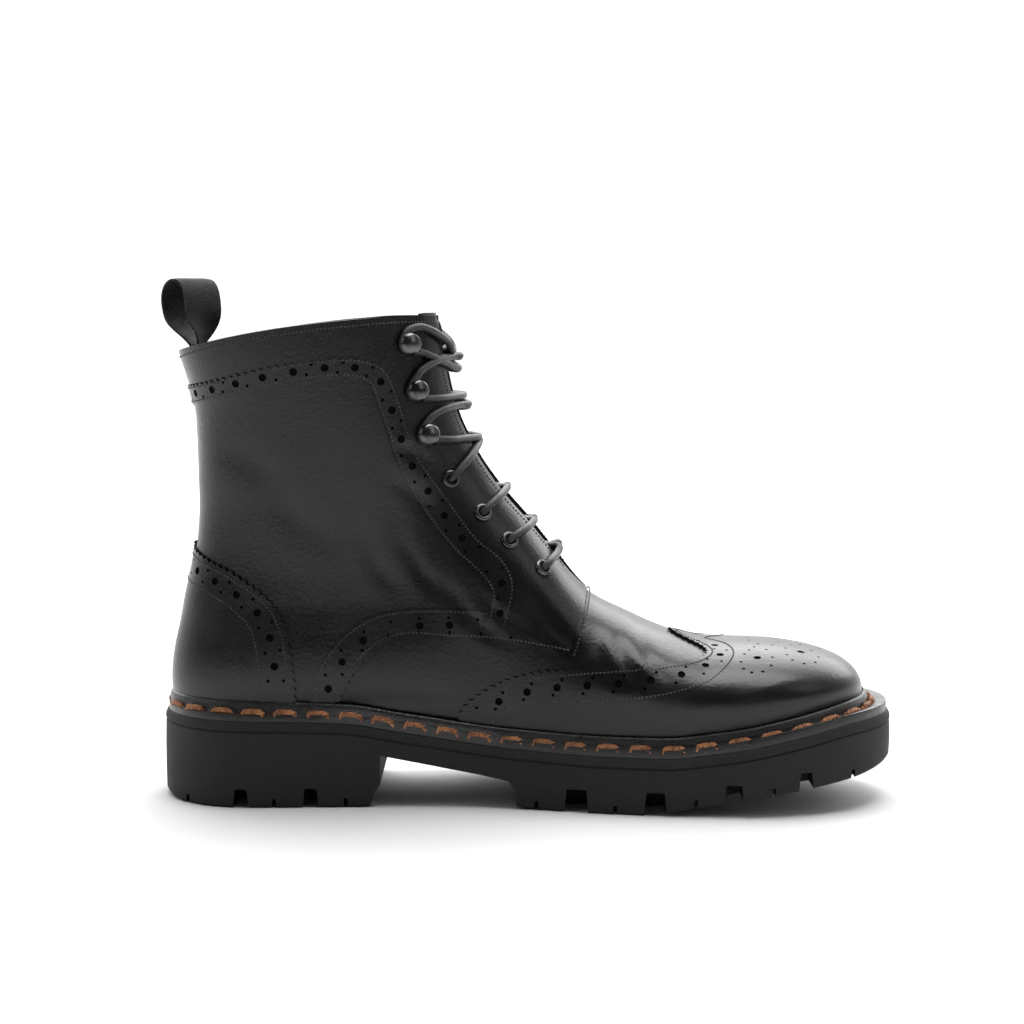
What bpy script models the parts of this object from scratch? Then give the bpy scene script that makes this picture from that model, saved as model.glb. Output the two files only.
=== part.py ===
"""Left lace-up brogue ankle boot with a storm welt and a one-piece lug sole.

Toe towards +X, medial side towards -Y, +Z up, metres. While it is built, x runs from the
back of the sole and z from the floor; at the end an empty moves everything so that the
origin is at the bottom centre of the whole boot.
"""

from collections import namedtuple
from math import cos, pi, radians, sin

import bmesh
import bpy
import numpy as np
from mathutils import Vector

# Driving dimensions
SOLE_LENGTH = 0.306
SOLE_WIDTH = 0.111
HEEL_THICKNESS = 0.036
FOREFOOT_THICKNESS = 0.0232
UPPER_BACK = 0.0049
TOE_OVERHANG = 0.0130
UPPER_LENGTH = SOLE_LENGTH - UPPER_BACK - TOE_OVERHANG
BALL_WIDTH = 0.0985
TOE_HEIGHT = 0.063
SHAFT_HEIGHT = 0.200
SHAFT_DEPTH = 0.113
SHAFT_WIDTH = 0.082
WELT_RISE = 0.0075
WELT_FLANGE = 0.0042
WELT_RIM = 0.0028
WELT_SETBACK = 0.0016
UPPER_WALL = 0.0020
QUARTER_LEATHER = 0.0010
CAP_LEATHER = 0.0010
COUNTER_LEATHER = 0.0010
TONGUE_THICKNESS = 0.0020
TONGUE_CLEARANCE = 0.0009
INSOLE_RISE = 0.0030
INSOLE_CLEARANCE = 0.0012
THROAT_HALF_GAP = 0.0085
SEAT = 0.0003

LUG_DEPTH = 0.0095
LUG_NOTCH = 0.0070
LUG_REACH = 0.0170
SLIT_DEPTH = 0.0035
SLIT_WIDTH = 0.0016
SLIT_REACH = 0.0060
HEEL_LUG_DEPTH = 0.0076
HEEL_NOTCH = 0.0050
TREAD_GROOVE = 0.0040
TREAD_WIDTH = 0.0035
TREAD_BRIDGE = 0.0010
SOLE_RIM_HEIGHT = 0.0028
SOLE_RIM_STEP = 0.0010

LACE_DIAMETER = 0.0030
EYELET_OUTER = 0.0076
EYELET_WIRE = 0.0009
HOOK_CAP = 0.0094
HOOK_HEIGHT = 0.0052
LOOP_WIDTH = 0.0190
LOOP_THICKNESS = 0.0014
LOOP_RISE = 0.0300
LOOP_SPREAD = 0.0090

COLUMNS = 52
ROWS = 13
SOLE_STATIONS = 40

# Shares of SOLE_LENGTH from which the feather line fans round the heel and the toe
HEEL_CENTRE = 0.14
TOE_CENTRE = 0.80

# Sole, shares of SOLE_LENGTH along, of SOLE_WIDTH across and of the two thicknesses upwards
SoleSection = namedtuple("SoleSection", "station medial lateral shift")
SOLE_OUTLINE = [
    SoleSection(0.00, 0.340, 0.340, 0.000),
    SoleSection(0.15, 0.345, 0.345, 0.000),
    SoleSection(0.30, 0.335, 0.350, 0.002),
    SoleSection(0.42, 0.345, 0.385, 0.006),
    SoleSection(0.52, 0.395, 0.435, 0.010),
    SoleSection(0.62, 0.465, 0.480, 0.012),
    SoleSection(0.70, 0.495, 0.505, 0.006),
    SoleSection(0.80, 0.495, 0.500, -0.018),
    SoleSection(0.90, 0.480, 0.480, -0.040),
    SoleSection(1.00, 0.460, 0.460, -0.062),
]
HEEL_ROUND = 0.125
TOE_ROUND = 0.235

SoleLevel = namedtuple("SoleLevel", "station top heel_share")
SOLE_TOP = [
    SoleLevel(0.00, 1.00, 1.00),
    SoleLevel(0.13, 0.99, 1.00),
    SoleLevel(0.25, 0.965, 1.00),
    SoleLevel(0.34, 0.850, 1.00),
    SoleLevel(0.48, 0.690, 1.00),
    SoleLevel(0.60, 0.645, 1.00),
    SoleLevel(0.68, 0.645, 1.00),
    SoleLevel(0.76, 0.720, 1.00),
    SoleLevel(0.86, 0.880, 1.00),
    SoleLevel(0.94, 1.000, 1.00),
    SoleLevel(1.00, 1.030, 1.00),
]
Underside = namedtuple("Underside", "station rise")
SOLE_BOTTOM = [
    Underside(0.000, 0.055),
    Underside(0.018, 0.012),
    Underside(0.045, 0.000),
    Underside(0.480, 0.030),
    Underside(0.540, 0.000),
    Underside(0.660, 0.000),
    Underside(0.730, 0.110),
    Underside(0.790, 0.190),
    Underside(0.870, 0.300),
    Underside(0.950, 0.400),
    Underside(1.000, 0.500),
]
ArchPoint = namedtuple("ArchPoint", "station rise")
ARCH = [
    ArchPoint(0.285, -0.20),
    ArchPoint(0.292, 0.12),
    ArchPoint(0.303, 0.26),
    ArchPoint(0.303, 0.60),
    ArchPoint(0.475, 0.325),
    ArchPoint(0.483, 0.24),
    ArchPoint(0.491, -0.20),
]
Notch = namedtuple("Notch", "station wide")
FOREFOOT_NOTCHES = [Notch(0.566, 1.15), Notch(0.670, 1.05), Notch(0.773, 0.90), Notch(0.869, 0.65)]
FOREFOOT_SLITS = [0.513, 0.617, 0.723, 0.825, 0.935]
HEEL_NOTCHES = [Notch(0.116, 1.0), Notch(0.210, 1.0)]
HEEL_SLITS = [0.041, 0.161, 0.257]

# Upper, foot part: shares of SOLE_LENGTH along, of TOE_HEIGHT up and of BALL_WIDTH across
FootSection = namedtuple("FootSection", "station ridge medial lateral shift")
FOOT_SECTIONS = [
    FootSection(0.20, 3.20, 0.345, 0.345, 0.000),
    FootSection(0.30, 2.90, 0.345, 0.360, 0.003),
    FootSection(0.40, 2.55, 0.350, 0.385, 0.008),
    FootSection(0.48, 2.00, 0.375, 0.415, 0.012),
    FootSection(0.535, 1.625, 0.410, 0.445, 0.014),
    FootSection(0.585, 1.345, 0.450, 0.470, 0.014),
    FootSection(0.64, 1.205, 0.485, 0.492, 0.012),
    FootSection(0.69, 1.095, 0.498, 0.502, 0.006),
    FootSection(0.75, 1.010, 0.498, 0.500, -0.006),
    FootSection(0.82, 1.003, 0.495, 0.495, -0.026),
    FootSection(0.90, 1.000, 0.480, 0.480, -0.046),
    FootSection(1.00, 1.000, 0.465, 0.465, -0.066),
]
UPPER_TOE_ROUND = 0.196
TOE_ROUND_POWER = 2.2
RIDGE_ROUND = 0.155
RIDGE_POWER = 2.5
FOOT_POWER = 2.15

# Upper, shaft part: shares of SHAFT_HEIGHT up, of SHAFT_DEPTH along and of SHAFT_WIDTH across
ShaftSection = namedtuple("ShaftSection", "level back front half")
SHAFT_SECTIONS = [
    ShaftSection(0.215, 0.050, 2.55, 0.390),
    ShaftSection(0.245, 0.046, 2.50, 0.408),
    ShaftSection(0.280, 0.050, 2.45, 0.412),
    ShaftSection(0.315, 0.060, 2.35, 0.408),
    ShaftSection(0.365, 0.080, 1.90, 0.395),
    ShaftSection(0.420, 0.098, 1.60, 0.382),
    ShaftSection(0.465, 0.116, 1.535, 0.380),
    ShaftSection(0.535, 0.138, 1.410, 0.388),
    ShaftSection(0.615, 0.148, 1.285, 0.405),
    ShaftSection(0.675, 0.146, 1.222, 0.422),
    ShaftSection(0.740, 0.143, 1.160, 0.440),
    ShaftSection(0.805, 0.138, 1.110, 0.458),
    ShaftSection(0.860, 0.118, 1.085, 0.472),
    ShaftSection(0.930, 0.080, 1.065, 0.488),
    ShaftSection(1.010, 0.040, 1.050, 0.500),
]
SHAFT_POWER = 2.15
BLEND_ALONG = (0.27, 0.45)
BLEND_UP = (0.50, 0.75)

# Middle sheet that the upper's points are pushed out from: shares of SOLE_LENGTH and SHAFT_HEIGHT
SheetPoint = namedtuple("SheetPoint", "station level")
MIDDLE_SHEET = [
    SheetPoint(0.130, 0.25), SheetPoint(0.815, 0.25), SheetPoint(0.660, 0.26),
    SheetPoint(0.490, 0.29), SheetPoint(0.395, 0.36), SheetPoint(0.335, 0.47),
    SheetPoint(0.300, 0.62), SheetPoint(0.280, 0.80), SheetPoint(0.275, 1.10),
    SheetPoint(0.165, 1.10), SheetPoint(0.165, 0.75), SheetPoint(0.150, 0.45),
]
REACH = 0.160

# Top edge of the upper: collar from the back to the throat, then down the throat;
# the collar's stations are shares of SHAFT_DEPTH
EdgePoint = namedtuple("EdgePoint", "share station level gap")
TOP_EDGE = [
    EdgePoint(0.00, 0.0663, 0.930, 0.0),
    EdgePoint(0.05, 0.1083, 0.940, 0.0),
    EdgePoint(0.10, 0.2004, 0.953, 0.0),
    EdgePoint(0.16, 0.3547, 0.972, 0.0),
    EdgePoint(0.23, 0.5362, 0.988, 0.0),
    EdgePoint(0.30, 0.7176, 0.999, 0.0),
    EdgePoint(0.37, 0.8936, 1.006, 0.0),
    EdgePoint(0.42, 0.9965, 1.004, 2.1),
    EdgePoint(0.45, 0.0, 0.980, 1.75),
    EdgePoint(0.52, 0.0, 0.890, 1.55),
    EdgePoint(0.60, 0.0, 0.795, 1.35),
    EdgePoint(0.70, 0.0, 0.685, 1.15),
    EdgePoint(0.80, 0.0, 0.585, 1.00),
    EdgePoint(0.90, 0.0, 0.505, 0.85),
    EdgePoint(0.96, 0.0, 0.462, 0.60),
    EdgePoint(1.00, 0.0, 0.445, 0.00),
]
COLLAR_END = 0.44

# Foot of each column on the feather line, share of the half outline against share of the top edge
FEATHER_PACE = [(0.0, 0.0), (0.12, 0.10), (0.30, 0.24), (0.45, 0.37), (0.70, 0.62), (0.88, 0.83), (1.0, 1.0)]

# Seams seen from the side: shares of SOLE_LENGTH and SHAFT_HEIGHT
SeamPoint = namedtuple("SeamPoint", "station level")
QUARTER_SEAM = [
    SeamPoint(-0.10, 0.10), SeamPoint(0.247, 0.10), SeamPoint(0.249, 0.225), SeamPoint(0.262, 0.262),
    SeamPoint(0.290, 0.305), SeamPoint(0.325, 0.335), SeamPoint(0.368, 0.348), SeamPoint(0.440, 0.342),
    SeamPoint(0.500, 0.328), SeamPoint(0.560, 0.316), SeamPoint(0.571, 0.352), SeamPoint(0.578, 0.400),
    SeamPoint(0.590, 0.520), SeamPoint(0.590, 1.30), SeamPoint(-0.10, 1.30),
]
CAP_SEAM = [
    SeamPoint(1.10, 0.10), SeamPoint(0.412, 0.10), SeamPoint(0.418, 0.205), SeamPoint(0.445, 0.238),
    SeamPoint(0.500, 0.262), SeamPoint(0.570, 0.268), SeamPoint(0.650, 0.268), SeamPoint(0.715, 0.282),
    SeamPoint(0.745, 0.300), SeamPoint(0.735, 0.318), SeamPoint(0.715, 0.330), SeamPoint(0.700, 0.338),
    SeamPoint(0.700, 0.50), SeamPoint(1.10, 0.50),
]
COUNTER_SEAM = [
    SeamPoint(-0.10, 0.10), SeamPoint(0.194, 0.10), SeamPoint(0.194, 0.230), SeamPoint(0.188, 0.300),
    SeamPoint(0.172, 0.355), SeamPoint(0.145, 0.405), SeamPoint(0.105, 0.450), SeamPoint(0.065, 0.490),
    SeamPoint(0.040, 0.520), SeamPoint(-0.10, 0.530),
]

# Eyelets and hooks seen from the side, from the lowest up: set back from the throat's ridge in
# shares of SHAFT_DEPTH
Fastener = namedtuple("Fastener", "setback level")
EYELETS = [
    Fastener(0.0799, 0.475), Fastener(0.1027, 0.538), Fastener(0.1232, 0.602), Fastener(0.1205, 0.682),
]
HOOKS = [Fastener(0.1118, 0.776), Fastener(0.1013, 0.870), Fastener(0.1210, 0.951)]

# Path of the pull loop from its rear end over the top: shares of LOOP_RISE up and LOOP_SPREAD forward
LoopPoint = namedtuple("LoopPoint", "along lean")
LOOP_PATH = [
    LoopPoint(-0.45, 0.00), LoopPoint(0.00, 0.00), LoopPoint(0.20, -0.25), LoopPoint(0.45, -0.85),
    LoopPoint(0.70, -1.10), LoopPoint(0.88, -0.98), LoopPoint(0.98, -0.62), LoopPoint(1.00, -0.20),
    LoopPoint(0.95, 0.22), LoopPoint(0.80, 0.50), LoopPoint(0.55, 0.60), LoopPoint(0.28, 0.48),
    LoopPoint(0.04, 0.26), LoopPoint(-0.45, 0.22),
]
LOOP_TURN = 42.0

CROSSING_STEPS = (0.0, 0.28, 0.66, 1.0)
CROSSING_BACK = (0.34, 0.72)
HOOK_LACE_SIDE = (0.58, 0.0, -0.20)

LEATHER = ("black leather", (0.012, 0.012, 0.013), 0.32, 0.0)
RUBBER = ("black rubber", (0.022, 0.021, 0.020), 0.80, 0.0)
WELT_COLOUR = ("waxed welt leather", (0.015, 0.014, 0.013), 0.40, 0.0)
FOOTBED = ("footbed leather", (0.050, 0.038, 0.028), 0.70, 0.0)
METAL = ("dark nickel", (0.110, 0.110, 0.115), 0.25, 1.0)
WEBBING = ("black webbing", (0.012, 0.012, 0.012), 0.85, 0.0)
CORD = ("waxed black cord", (0.010, 0.010, 0.010), 0.45, 0.0)


def new_collection(name):
    collection = bpy.data.collections.new(name)
    bpy.context.scene.collection.children.link(collection)
    return collection


def clear_scene():
    for item in list(bpy.data.objects):
        bpy.data.objects.remove(item, do_unlink=True)
    for collection in list(bpy.data.collections):
        bpy.data.collections.remove(collection)


def make_material(spec):
    name, colour, roughness, metallic = spec
    material = bpy.data.materials.get(name) or bpy.data.materials.new(name)
    material.use_nodes = True
    shader = material.node_tree.nodes["Principled BSDF"]
    shader.inputs["Base Color"].default_value = (*colour, 1.0)
    shader.inputs["Roughness"].default_value = roughness
    shader.inputs["Metallic"].default_value = metallic
    return material


def smooth_curve(keys, values, at):
    """Smooth curve through the rows of a table, without overshoot between them."""
    keys = np.asarray(keys, dtype=float)
    values = np.asarray(values, dtype=float)
    at = np.clip(np.asarray(at, dtype=float), keys[0], keys[-1])
    steps = np.diff(keys)
    slopes = np.diff(values) / steps
    tangents = np.zeros_like(values)
    tangents[0] = slopes[0]
    tangents[-1] = slopes[-1]
    same_way = slopes[:-1] * slopes[1:] > 0.0
    product = np.where(same_way, slopes[:-1] * slopes[1:], 0.0)
    total = np.where(same_way, slopes[:-1] + slopes[1:], 1.0)
    tangents[1:-1] = 2.0 * product / total
    index = np.clip(np.searchsorted(keys, at) - 1, 0, len(steps) - 1)
    step = steps[index]
    t = (at - keys[index]) / step
    start = values[index] * (1 + 2 * t) * (1 - t) ** 2 + tangents[index] * step * t * (1 - t) ** 2
    end = values[index + 1] * t * t * (3 - 2 * t) + tangents[index + 1] * step * t * t * (t - 1)
    return start + end


def column(table, name, at, key=0):
    return smooth_curve([row[key] for row in table], [getattr(row, name) for row in table], at)


def ease(value, low, high):
    t = np.clip((value - low) / (high - low), 0.0, 1.0)
    return t * t * (3.0 - 2.0 * t)


def round_end(distance, reach, power):
    """Share of the width left at a distance into a rounded end."""
    t = np.clip(distance / reach, 0.0, 1.0)
    return (1.0 - t ** power) ** (1.0 / power)


def sole_top(x):
    s = x / SOLE_LENGTH
    heel = HEEL_THICKNESS * column(SOLE_TOP, "top", s)
    thinner = FOREFOOT_THICKNESS - 0.6444 * HEEL_THICKNESS
    return heel + thinner * ease(s, 0.34, 0.55) * (1.0 - ease(s, 0.85, 1.0))


def sole_bottom(x):
    return HEEL_THICKNESS * column(SOLE_BOTTOM, "rise", x / SOLE_LENGTH)


def feather(x):
    """Height of the line where the upper meets the welt."""
    return sole_top(x) + WELT_RISE


def sole_half_widths(x, back=0.0, front=1.0, inset=0.0):
    """Medial and lateral edge of a closed outline, set in from the sole's edge."""
    length = SOLE_LENGTH
    s = x / length
    start = back
    end = front * length
    ends = round_end((start + HEEL_ROUND * length - x), HEEL_ROUND * length, 2.0)
    ends = ends * round_end(x - (end - TOE_ROUND * length), TOE_ROUND * length, 2.15)
    middle = SOLE_WIDTH * column(SOLE_OUTLINE, "shift", s)
    medial = (SOLE_WIDTH * column(SOLE_OUTLINE, "medial", s) - inset) * ends
    lateral = (SOLE_WIDTH * column(SOLE_OUTLINE, "lateral", s) - inset) * ends
    return middle - medial, middle + lateral


def foot_field(x, y, z):
    """Below zero inside the foot part of the upper."""
    s = x / SOLE_LENGTH
    front = UPPER_BACK + UPPER_LENGTH
    reach = UPPER_TOE_ROUND * SOLE_LENGTH
    ends = round_end(x - (front - reach), reach, TOE_ROUND_POWER)
    middle = BALL_WIDTH * column(FOOT_SECTIONS, "shift", s)
    medial = BALL_WIDTH * column(FOOT_SECTIONS, "medial", s)
    lateral = BALL_WIDTH * column(FOOT_SECTIONS, "lateral", s)
    half = np.where(y < middle, medial, lateral) * ends
    base = feather(x)
    ridge_reach = RIDGE_ROUND * SOLE_LENGTH
    crown = TOE_HEIGHT * column(FOOT_SECTIONS, "ridge", s) - base
    crown = np.maximum(crown * round_end(x - (front - ridge_reach), ridge_reach, RIDGE_POWER), 1e-6)
    belly = base + np.minimum(0.35 * crown, 0.015)
    below = np.clip((belly - z) / np.maximum(belly - base, 1e-6), 0.0, 1.0)
    half = np.maximum(half * (1.0 - 0.045 * below ** 2), 1e-6)
    across = np.abs(y - middle) / half
    up = np.maximum(z - belly, 0.0) / np.maximum(base + crown - belly, 1e-6)
    return (across ** FOOT_POWER + up ** FOOT_POWER) ** (1.0 / FOOT_POWER) - 1.0


def shaft_field(x, y, z):
    """Below zero inside the heel and shaft part of the upper."""
    level = z / SHAFT_HEIGHT
    back = SHAFT_DEPTH * column(SHAFT_SECTIONS, "back", level)
    front = SHAFT_DEPTH * column(SHAFT_SECTIONS, "front", level)
    half = SHAFT_WIDTH * column(SHAFT_SECTIONS, "half", level)
    middle = back + 0.46 * np.minimum(front - back, SHAFT_DEPTH)
    behind = (middle - x) / (middle - back)
    ahead = (x - middle) / (front - middle)
    along = np.where(x < middle, behind, ahead)
    across = np.abs(y) / half
    return (np.abs(along) ** SHAFT_POWER + across ** SHAFT_POWER) ** (1.0 / SHAFT_POWER) - 1.0


def upper_field(points):
    x, y, z = points[..., 0], points[..., 1], points[..., 2]
    foot = ease(x / SOLE_LENGTH, *BLEND_ALONG) * (1.0 - ease(z / SHAFT_HEIGHT, *BLEND_UP))
    foot_value = np.minimum(foot_field(x, y, z), 4.0)
    shaft_value = np.minimum(shaft_field(x, y, z), 4.0)
    return foot * foot_value + (1.0 - foot) * shaft_value


def nearest_on_sheet(points):
    """Nearest point of the flat middle sheet to each point, in the plane y = 0."""
    corners = np.array([(p.station * SOLE_LENGTH, p.level * SHAFT_HEIGHT) for p in MIDDLE_SHEET])
    flat = points[..., [0, 2]].reshape(-1, 2)
    best = np.full(len(flat), 1e9)
    nearest = flat.copy()
    inside = np.zeros(len(flat), dtype=bool)
    for start, end in zip(corners, np.roll(corners, -1, axis=0)):
        edge = end - start
        t = np.clip((flat - start) @ edge / (edge @ edge), 0.0, 1.0)
        foot = start + t[:, None] * edge
        gap = np.linalg.norm(flat - foot, axis=1)
        closer = gap < best
        best[closer] = gap[closer]
        nearest[closer] = foot[closer]
        spans = (start[1] > flat[:, 1]) != (end[1] > flat[:, 1])
        rise = edge[1] if abs(edge[1]) > 1e-9 else 1e-9
        crossing = start[0] + (flat[:, 1] - start[1]) * edge[0] / rise
        inside ^= spans & (flat[:, 0] < crossing)
    nearest[inside] = flat[inside]
    result = np.zeros((len(flat), 3))
    result[:, 0] = nearest[:, 0]
    result[:, 2] = nearest[:, 1]
    return result.reshape(points.shape)


def push_out(origins, directions):
    """Points where rays from inside the upper leave it."""
    low = np.zeros(origins.shape[:-1])
    high = np.full(origins.shape[:-1], REACH)
    for _ in range(44):
        middle = 0.5 * (low + high)
        outside = upper_field(origins + middle[..., None] * directions) > 0.0
        high = np.where(outside, middle, high)
        low = np.where(outside, low, middle)
    return origins + low[..., None] * directions


def unit(vectors):
    return vectors / np.maximum(np.linalg.norm(vectors, axis=-1, keepdims=True), 1e-12)


def outward(points):
    """Unit normals of the upper's outer surface."""
    step = 0.0004
    slope = np.zeros_like(points)
    for axis in range(3):
        shift = np.zeros(3)
        shift[axis] = step
        slope[..., axis] = upper_field(points + shift) - upper_field(points - shift)
    return unit(slope)


def surface_from(points):
    origins = nearest_on_sheet(points)
    return push_out(origins, unit(points - origins))


def ridge_x(z):
    """Front of the closed form at the middle, at a height above the vamp."""
    z = np.atleast_1d(np.asarray(z, dtype=float))
    origin = np.stack([np.full(z.shape, 0.20 * SOLE_LENGTH), np.zeros(z.shape), z], axis=-1)
    return push_out(origin, np.tile((1.0, 0.0, 0.0), (len(z), 1)))[:, 0]


def side_point(x, z, side):
    """Point of the upper's surface seen at x and z from one side."""
    x = np.atleast_1d(np.asarray(x, dtype=float))
    origin = np.stack([x, np.zeros(x.shape), np.atleast_1d(z) + np.zeros(x.shape)], axis=-1)
    return push_out(origin, np.tile((0.0, float(side), 0.0), (len(x), 1)))


def top_edge(share, side):
    """Point of the collar and throat edge, from the back seam to the foot of the throat."""
    level = SHAFT_HEIGHT * column(TOP_EDGE, "level", share)
    gap = THROAT_HALF_GAP * column(TOP_EDGE, "gap", share)
    collar = share < COLLAR_END
    x_collar = SHAFT_DEPTH * column(TOP_EDGE[:8], "station", np.minimum(share, 0.42))
    seen = side_point(x_collar, level, side)
    origin = np.stack([np.full(share.shape, 0.20 * SOLE_LENGTH), side * gap, level], axis=-1)
    throat = push_out(origin, np.tile((1.0, 0.0, 0.0), (len(share), 1)))
    mix = ease(share, 0.34, COLLAR_END)[:, None]
    guess = np.where(collar[:, None], (1.0 - mix) * seen + mix * throat, throat)
    at_back = share <= 1e-9
    guess[at_back] = push_out(
        np.array([[0.20 * SOLE_LENGTH, 0.0, level[0]]]), np.array([[-1.0, 0.0, 0.0]])
    )
    return surface_from(guess)


def feather_point(share, side):
    """Point of the feather line, from the heel to the toe, on one side."""
    angle = pi * share
    front = UPPER_BACK + UPPER_LENGTH
    x = UPPER_BACK + (front - UPPER_BACK) * 0.5 * (1.0 - np.cos(angle))
    z = feather(x)
    middle = np.clip(x, HEEL_CENTRE * SOLE_LENGTH, TOE_CENTRE * SOLE_LENGTH)
    origin = np.stack([middle, np.zeros(x.shape), z], axis=-1)
    behind = np.clip((middle - x) / (middle - UPPER_BACK + 1e-9), 0.0, 1.0)
    ahead = np.clip((x - middle) / (front - middle + 1e-9), 0.0, 1.0)
    lean = np.where(x < middle, -behind, ahead)
    direction = np.stack([np.sin(lean * pi / 2), side * np.cos(lean * pi / 2), np.zeros(x.shape)], axis=-1)
    points = push_out(origin, direction)
    points[:, 2] = feather(points[:, 0])
    return points


def around():
    """Share along the half outline and side of each column, right round the boot."""
    half = COLUMNS // 2
    shares = []
    sides = []
    for index in range(COLUMNS):
        if index <= half:
            shares.append(index / half)
            sides.append(-1.0)
        else:
            shares.append((COLUMNS - index) / half)
            sides.append(1.0)
    return np.array(shares), np.array(sides)


def half_edge(function, shares, sides):
    points = np.zeros((len(shares), 3))
    for side in (-1.0, 1.0):
        chosen = sides == side
        points[chosen] = function(shares[chosen], side)
    ends = (shares <= 1e-9) | (shares >= 1.0 - 1e-9)
    points[ends, 1] = np.where(shares[ends] <= 1e-9, 0.0, points[ends, 1])
    return points


def upper_grid():
    """Outer surface of the upper, columns by rows, from the feather line to the top edge."""
    shares, sides = around()
    feather_shares = smooth_curve(
        [pace[1] for pace in FEATHER_PACE], [pace[0] for pace in FEATHER_PACE], shares
    )
    low = half_edge(feather_point, feather_shares, sides)
    high = half_edge(top_edge, shares, sides)
    samples = np.linspace(0.0, 1.0, 8 * ROWS + 1)
    chord = low[:, None] + samples[None, :, None] * (high - low)[:, None]
    dense = surface_from(chord)
    dense[:, 0] = low
    dense[:, -1] = high
    grid = np.zeros((COLUMNS, ROWS + 1, 3))
    for index in range(COLUMNS):
        lengths = np.linalg.norm(np.diff(dense[index], axis=0), axis=1)
        travelled = np.concatenate([[0.0], np.cumsum(lengths)])
        wanted = np.linspace(0.0, travelled[-1], ROWS + 1)
        for axis in range(3):
            grid[index, :, axis] = np.interp(wanted, travelled, dense[index, :, axis])
    return grid


def object_from(name, vertices, faces, collection, spec):
    mesh = bpy.data.meshes.new(name)
    mesh.from_pydata([tuple(map(float, v)) for v in vertices], [], faces)
    mesh.materials.append(make_material(spec))
    item = bpy.data.objects.new(name, mesh)
    collection.objects.link(item)
    work = bmesh.new()
    work.from_mesh(mesh)
    bmesh.ops.recalc_face_normals(work, faces=work.faces)
    work.to_mesh(mesh)
    work.free()
    return item


def shell_between(name, grid, normals, high, low, collection, spec):
    """Closed wall right round between two offsets of the upper's grid, split alike inside and out."""
    outer = grid + normals * high
    inner = grid + normals * low
    columns, rows = grid.shape[:2]
    vertices = np.concatenate([outer.reshape(-1, 3), inner.reshape(-1, 3)])
    shift = columns * rows
    faces = []
    for i in range(columns):
        j = (i + 1) % columns
        for k in range(rows - 1):
            a, b, c, d = i * rows + k, j * rows + k, j * rows + k + 1, i * rows + k + 1
            across = np.linalg.norm(grid[i, k] - grid[j, k + 1])
            other = np.linalg.norm(grid[j, k] - grid[i, k + 1])
            halves = ((a, b, c), (a, c, d)) if across < other else ((a, b, d), (b, c, d))
            for u, v, w in halves:
                faces.append((u, v, w))
                faces.append((w + shift, v + shift, u + shift))
        faces.append((i * rows, i * rows + shift, j * rows + shift, j * rows))
        a, b = i * rows + rows - 1, j * rows + rows - 1
        faces.append((a, b, b + shift, a + shift))
    return object_from(name, vertices, faces, collection, spec)


def loft_rings(name, rings, collection, spec):
    """Closed body through rings of matching points, with flat ends."""
    count = len(rings[0])
    vertices = [point for ring in rings for point in ring]
    faces = [tuple(reversed(range(count)))]
    for r in range(len(rings) - 1):
        for k in range(count):
            n = (k + 1) % count
            faces.append((r * count + k, r * count + n, (r + 1) * count + n, (r + 1) * count + k))
    last = (len(rings) - 1) * count
    faces.append(tuple(last + k for k in range(count)))
    return object_from(name, vertices, faces, collection, spec)


def side_prism(name, outline, near, far, collection):
    """Cutter with an outline seen from the side, between two distances across."""
    rings = []
    for y in (near, far):
        rings.append([(p.station * SOLE_LENGTH, y, p.level * SHAFT_HEIGHT) for p in outline])
    cutter = loft_rings(name, rings, collection, LEATHER)
    cutter.hide_render = True
    cutter.display_type = "WIRE"
    return cutter


def apply_boolean(item, cutter, operation):
    modifier = item.modifiers.new("cut", "BOOLEAN")
    modifier.operation = operation
    modifier.solver = "EXACT"
    modifier.object = cutter


def make_overlay(name, grid, normals, low, high, outline, sides, parts, cutters):
    """Leather panel cut from between two larger forms of the upper."""
    near, far = sides
    panel = shell_between(name, grid, normals, high, low, parts, LEATHER)
    cutter = side_prism("cut_" + name, outline, near, far, cutters)
    apply_boolean(panel, cutter, "INTERSECT")
    return panel


def feather_ring(grid, inset):
    """Feather line moved inwards in plan by a distance."""
    ring = grid[:, 0].copy()
    ahead = np.roll(ring, -1, axis=0) - np.roll(ring, 1, axis=0)
    ahead[:, 2] = 0.0
    out = unit(np.stack([-ahead[:, 1], ahead[:, 0], np.zeros(len(ring))], axis=-1))
    centre = ring.mean(axis=0)
    flip = np.sign(np.sum(out * (ring - centre), axis=1).sum())
    return ring - out * flip * inset


def make_welt(grid, parts):
    """Flange on the sole with an upright rim under the upper's edge."""
    inner = feather_ring(grid, UPPER_WALL + SEAT)
    rim = feather_ring(grid, -WELT_RIM)
    outer = feather_ring(grid, -WELT_RIM)
    low_edge, high_edge = sole_half_widths(outer[:, 0], inset=WELT_SETBACK)
    ring = grid[:, 0]
    shares, sides = around()
    target = np.where(sides < 0, low_edge, high_edge)
    outer[:, 1] = target
    front = (ring[:, 0] > 0.86 * SOLE_LENGTH) | (ring[:, 0] < 0.12 * SOLE_LENGTH)
    radial = feather_ring(grid, -(WELT_RIM + 0.0030))
    outer[front] = radial[front]
    rows = []
    for points, lift in (
        (inner, None), (outer, None), (outer, WELT_FLANGE), (rim, WELT_FLANGE), (rim, WELT_RISE), (inner, WELT_RISE),
    ):
        row = points.copy()
        base = sole_top(row[:, 0])
        row[:, 2] = base + (SEAT if lift is None else lift - SEAT)
        rows.append(row)
    rows = np.stack(rows, axis=1)
    count = rows.shape[1]
    faces = []
    for i in range(COLUMNS):
        j = (i + 1) % COLUMNS
        for k in range(count):
            n = (k + 1) % count
            faces.append((i * count + k, j * count + k, j * count + n, i * count + n))
    return object_from("welt", rows.reshape(-1, 3), faces, parts, WELT_COLOUR)


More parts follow.
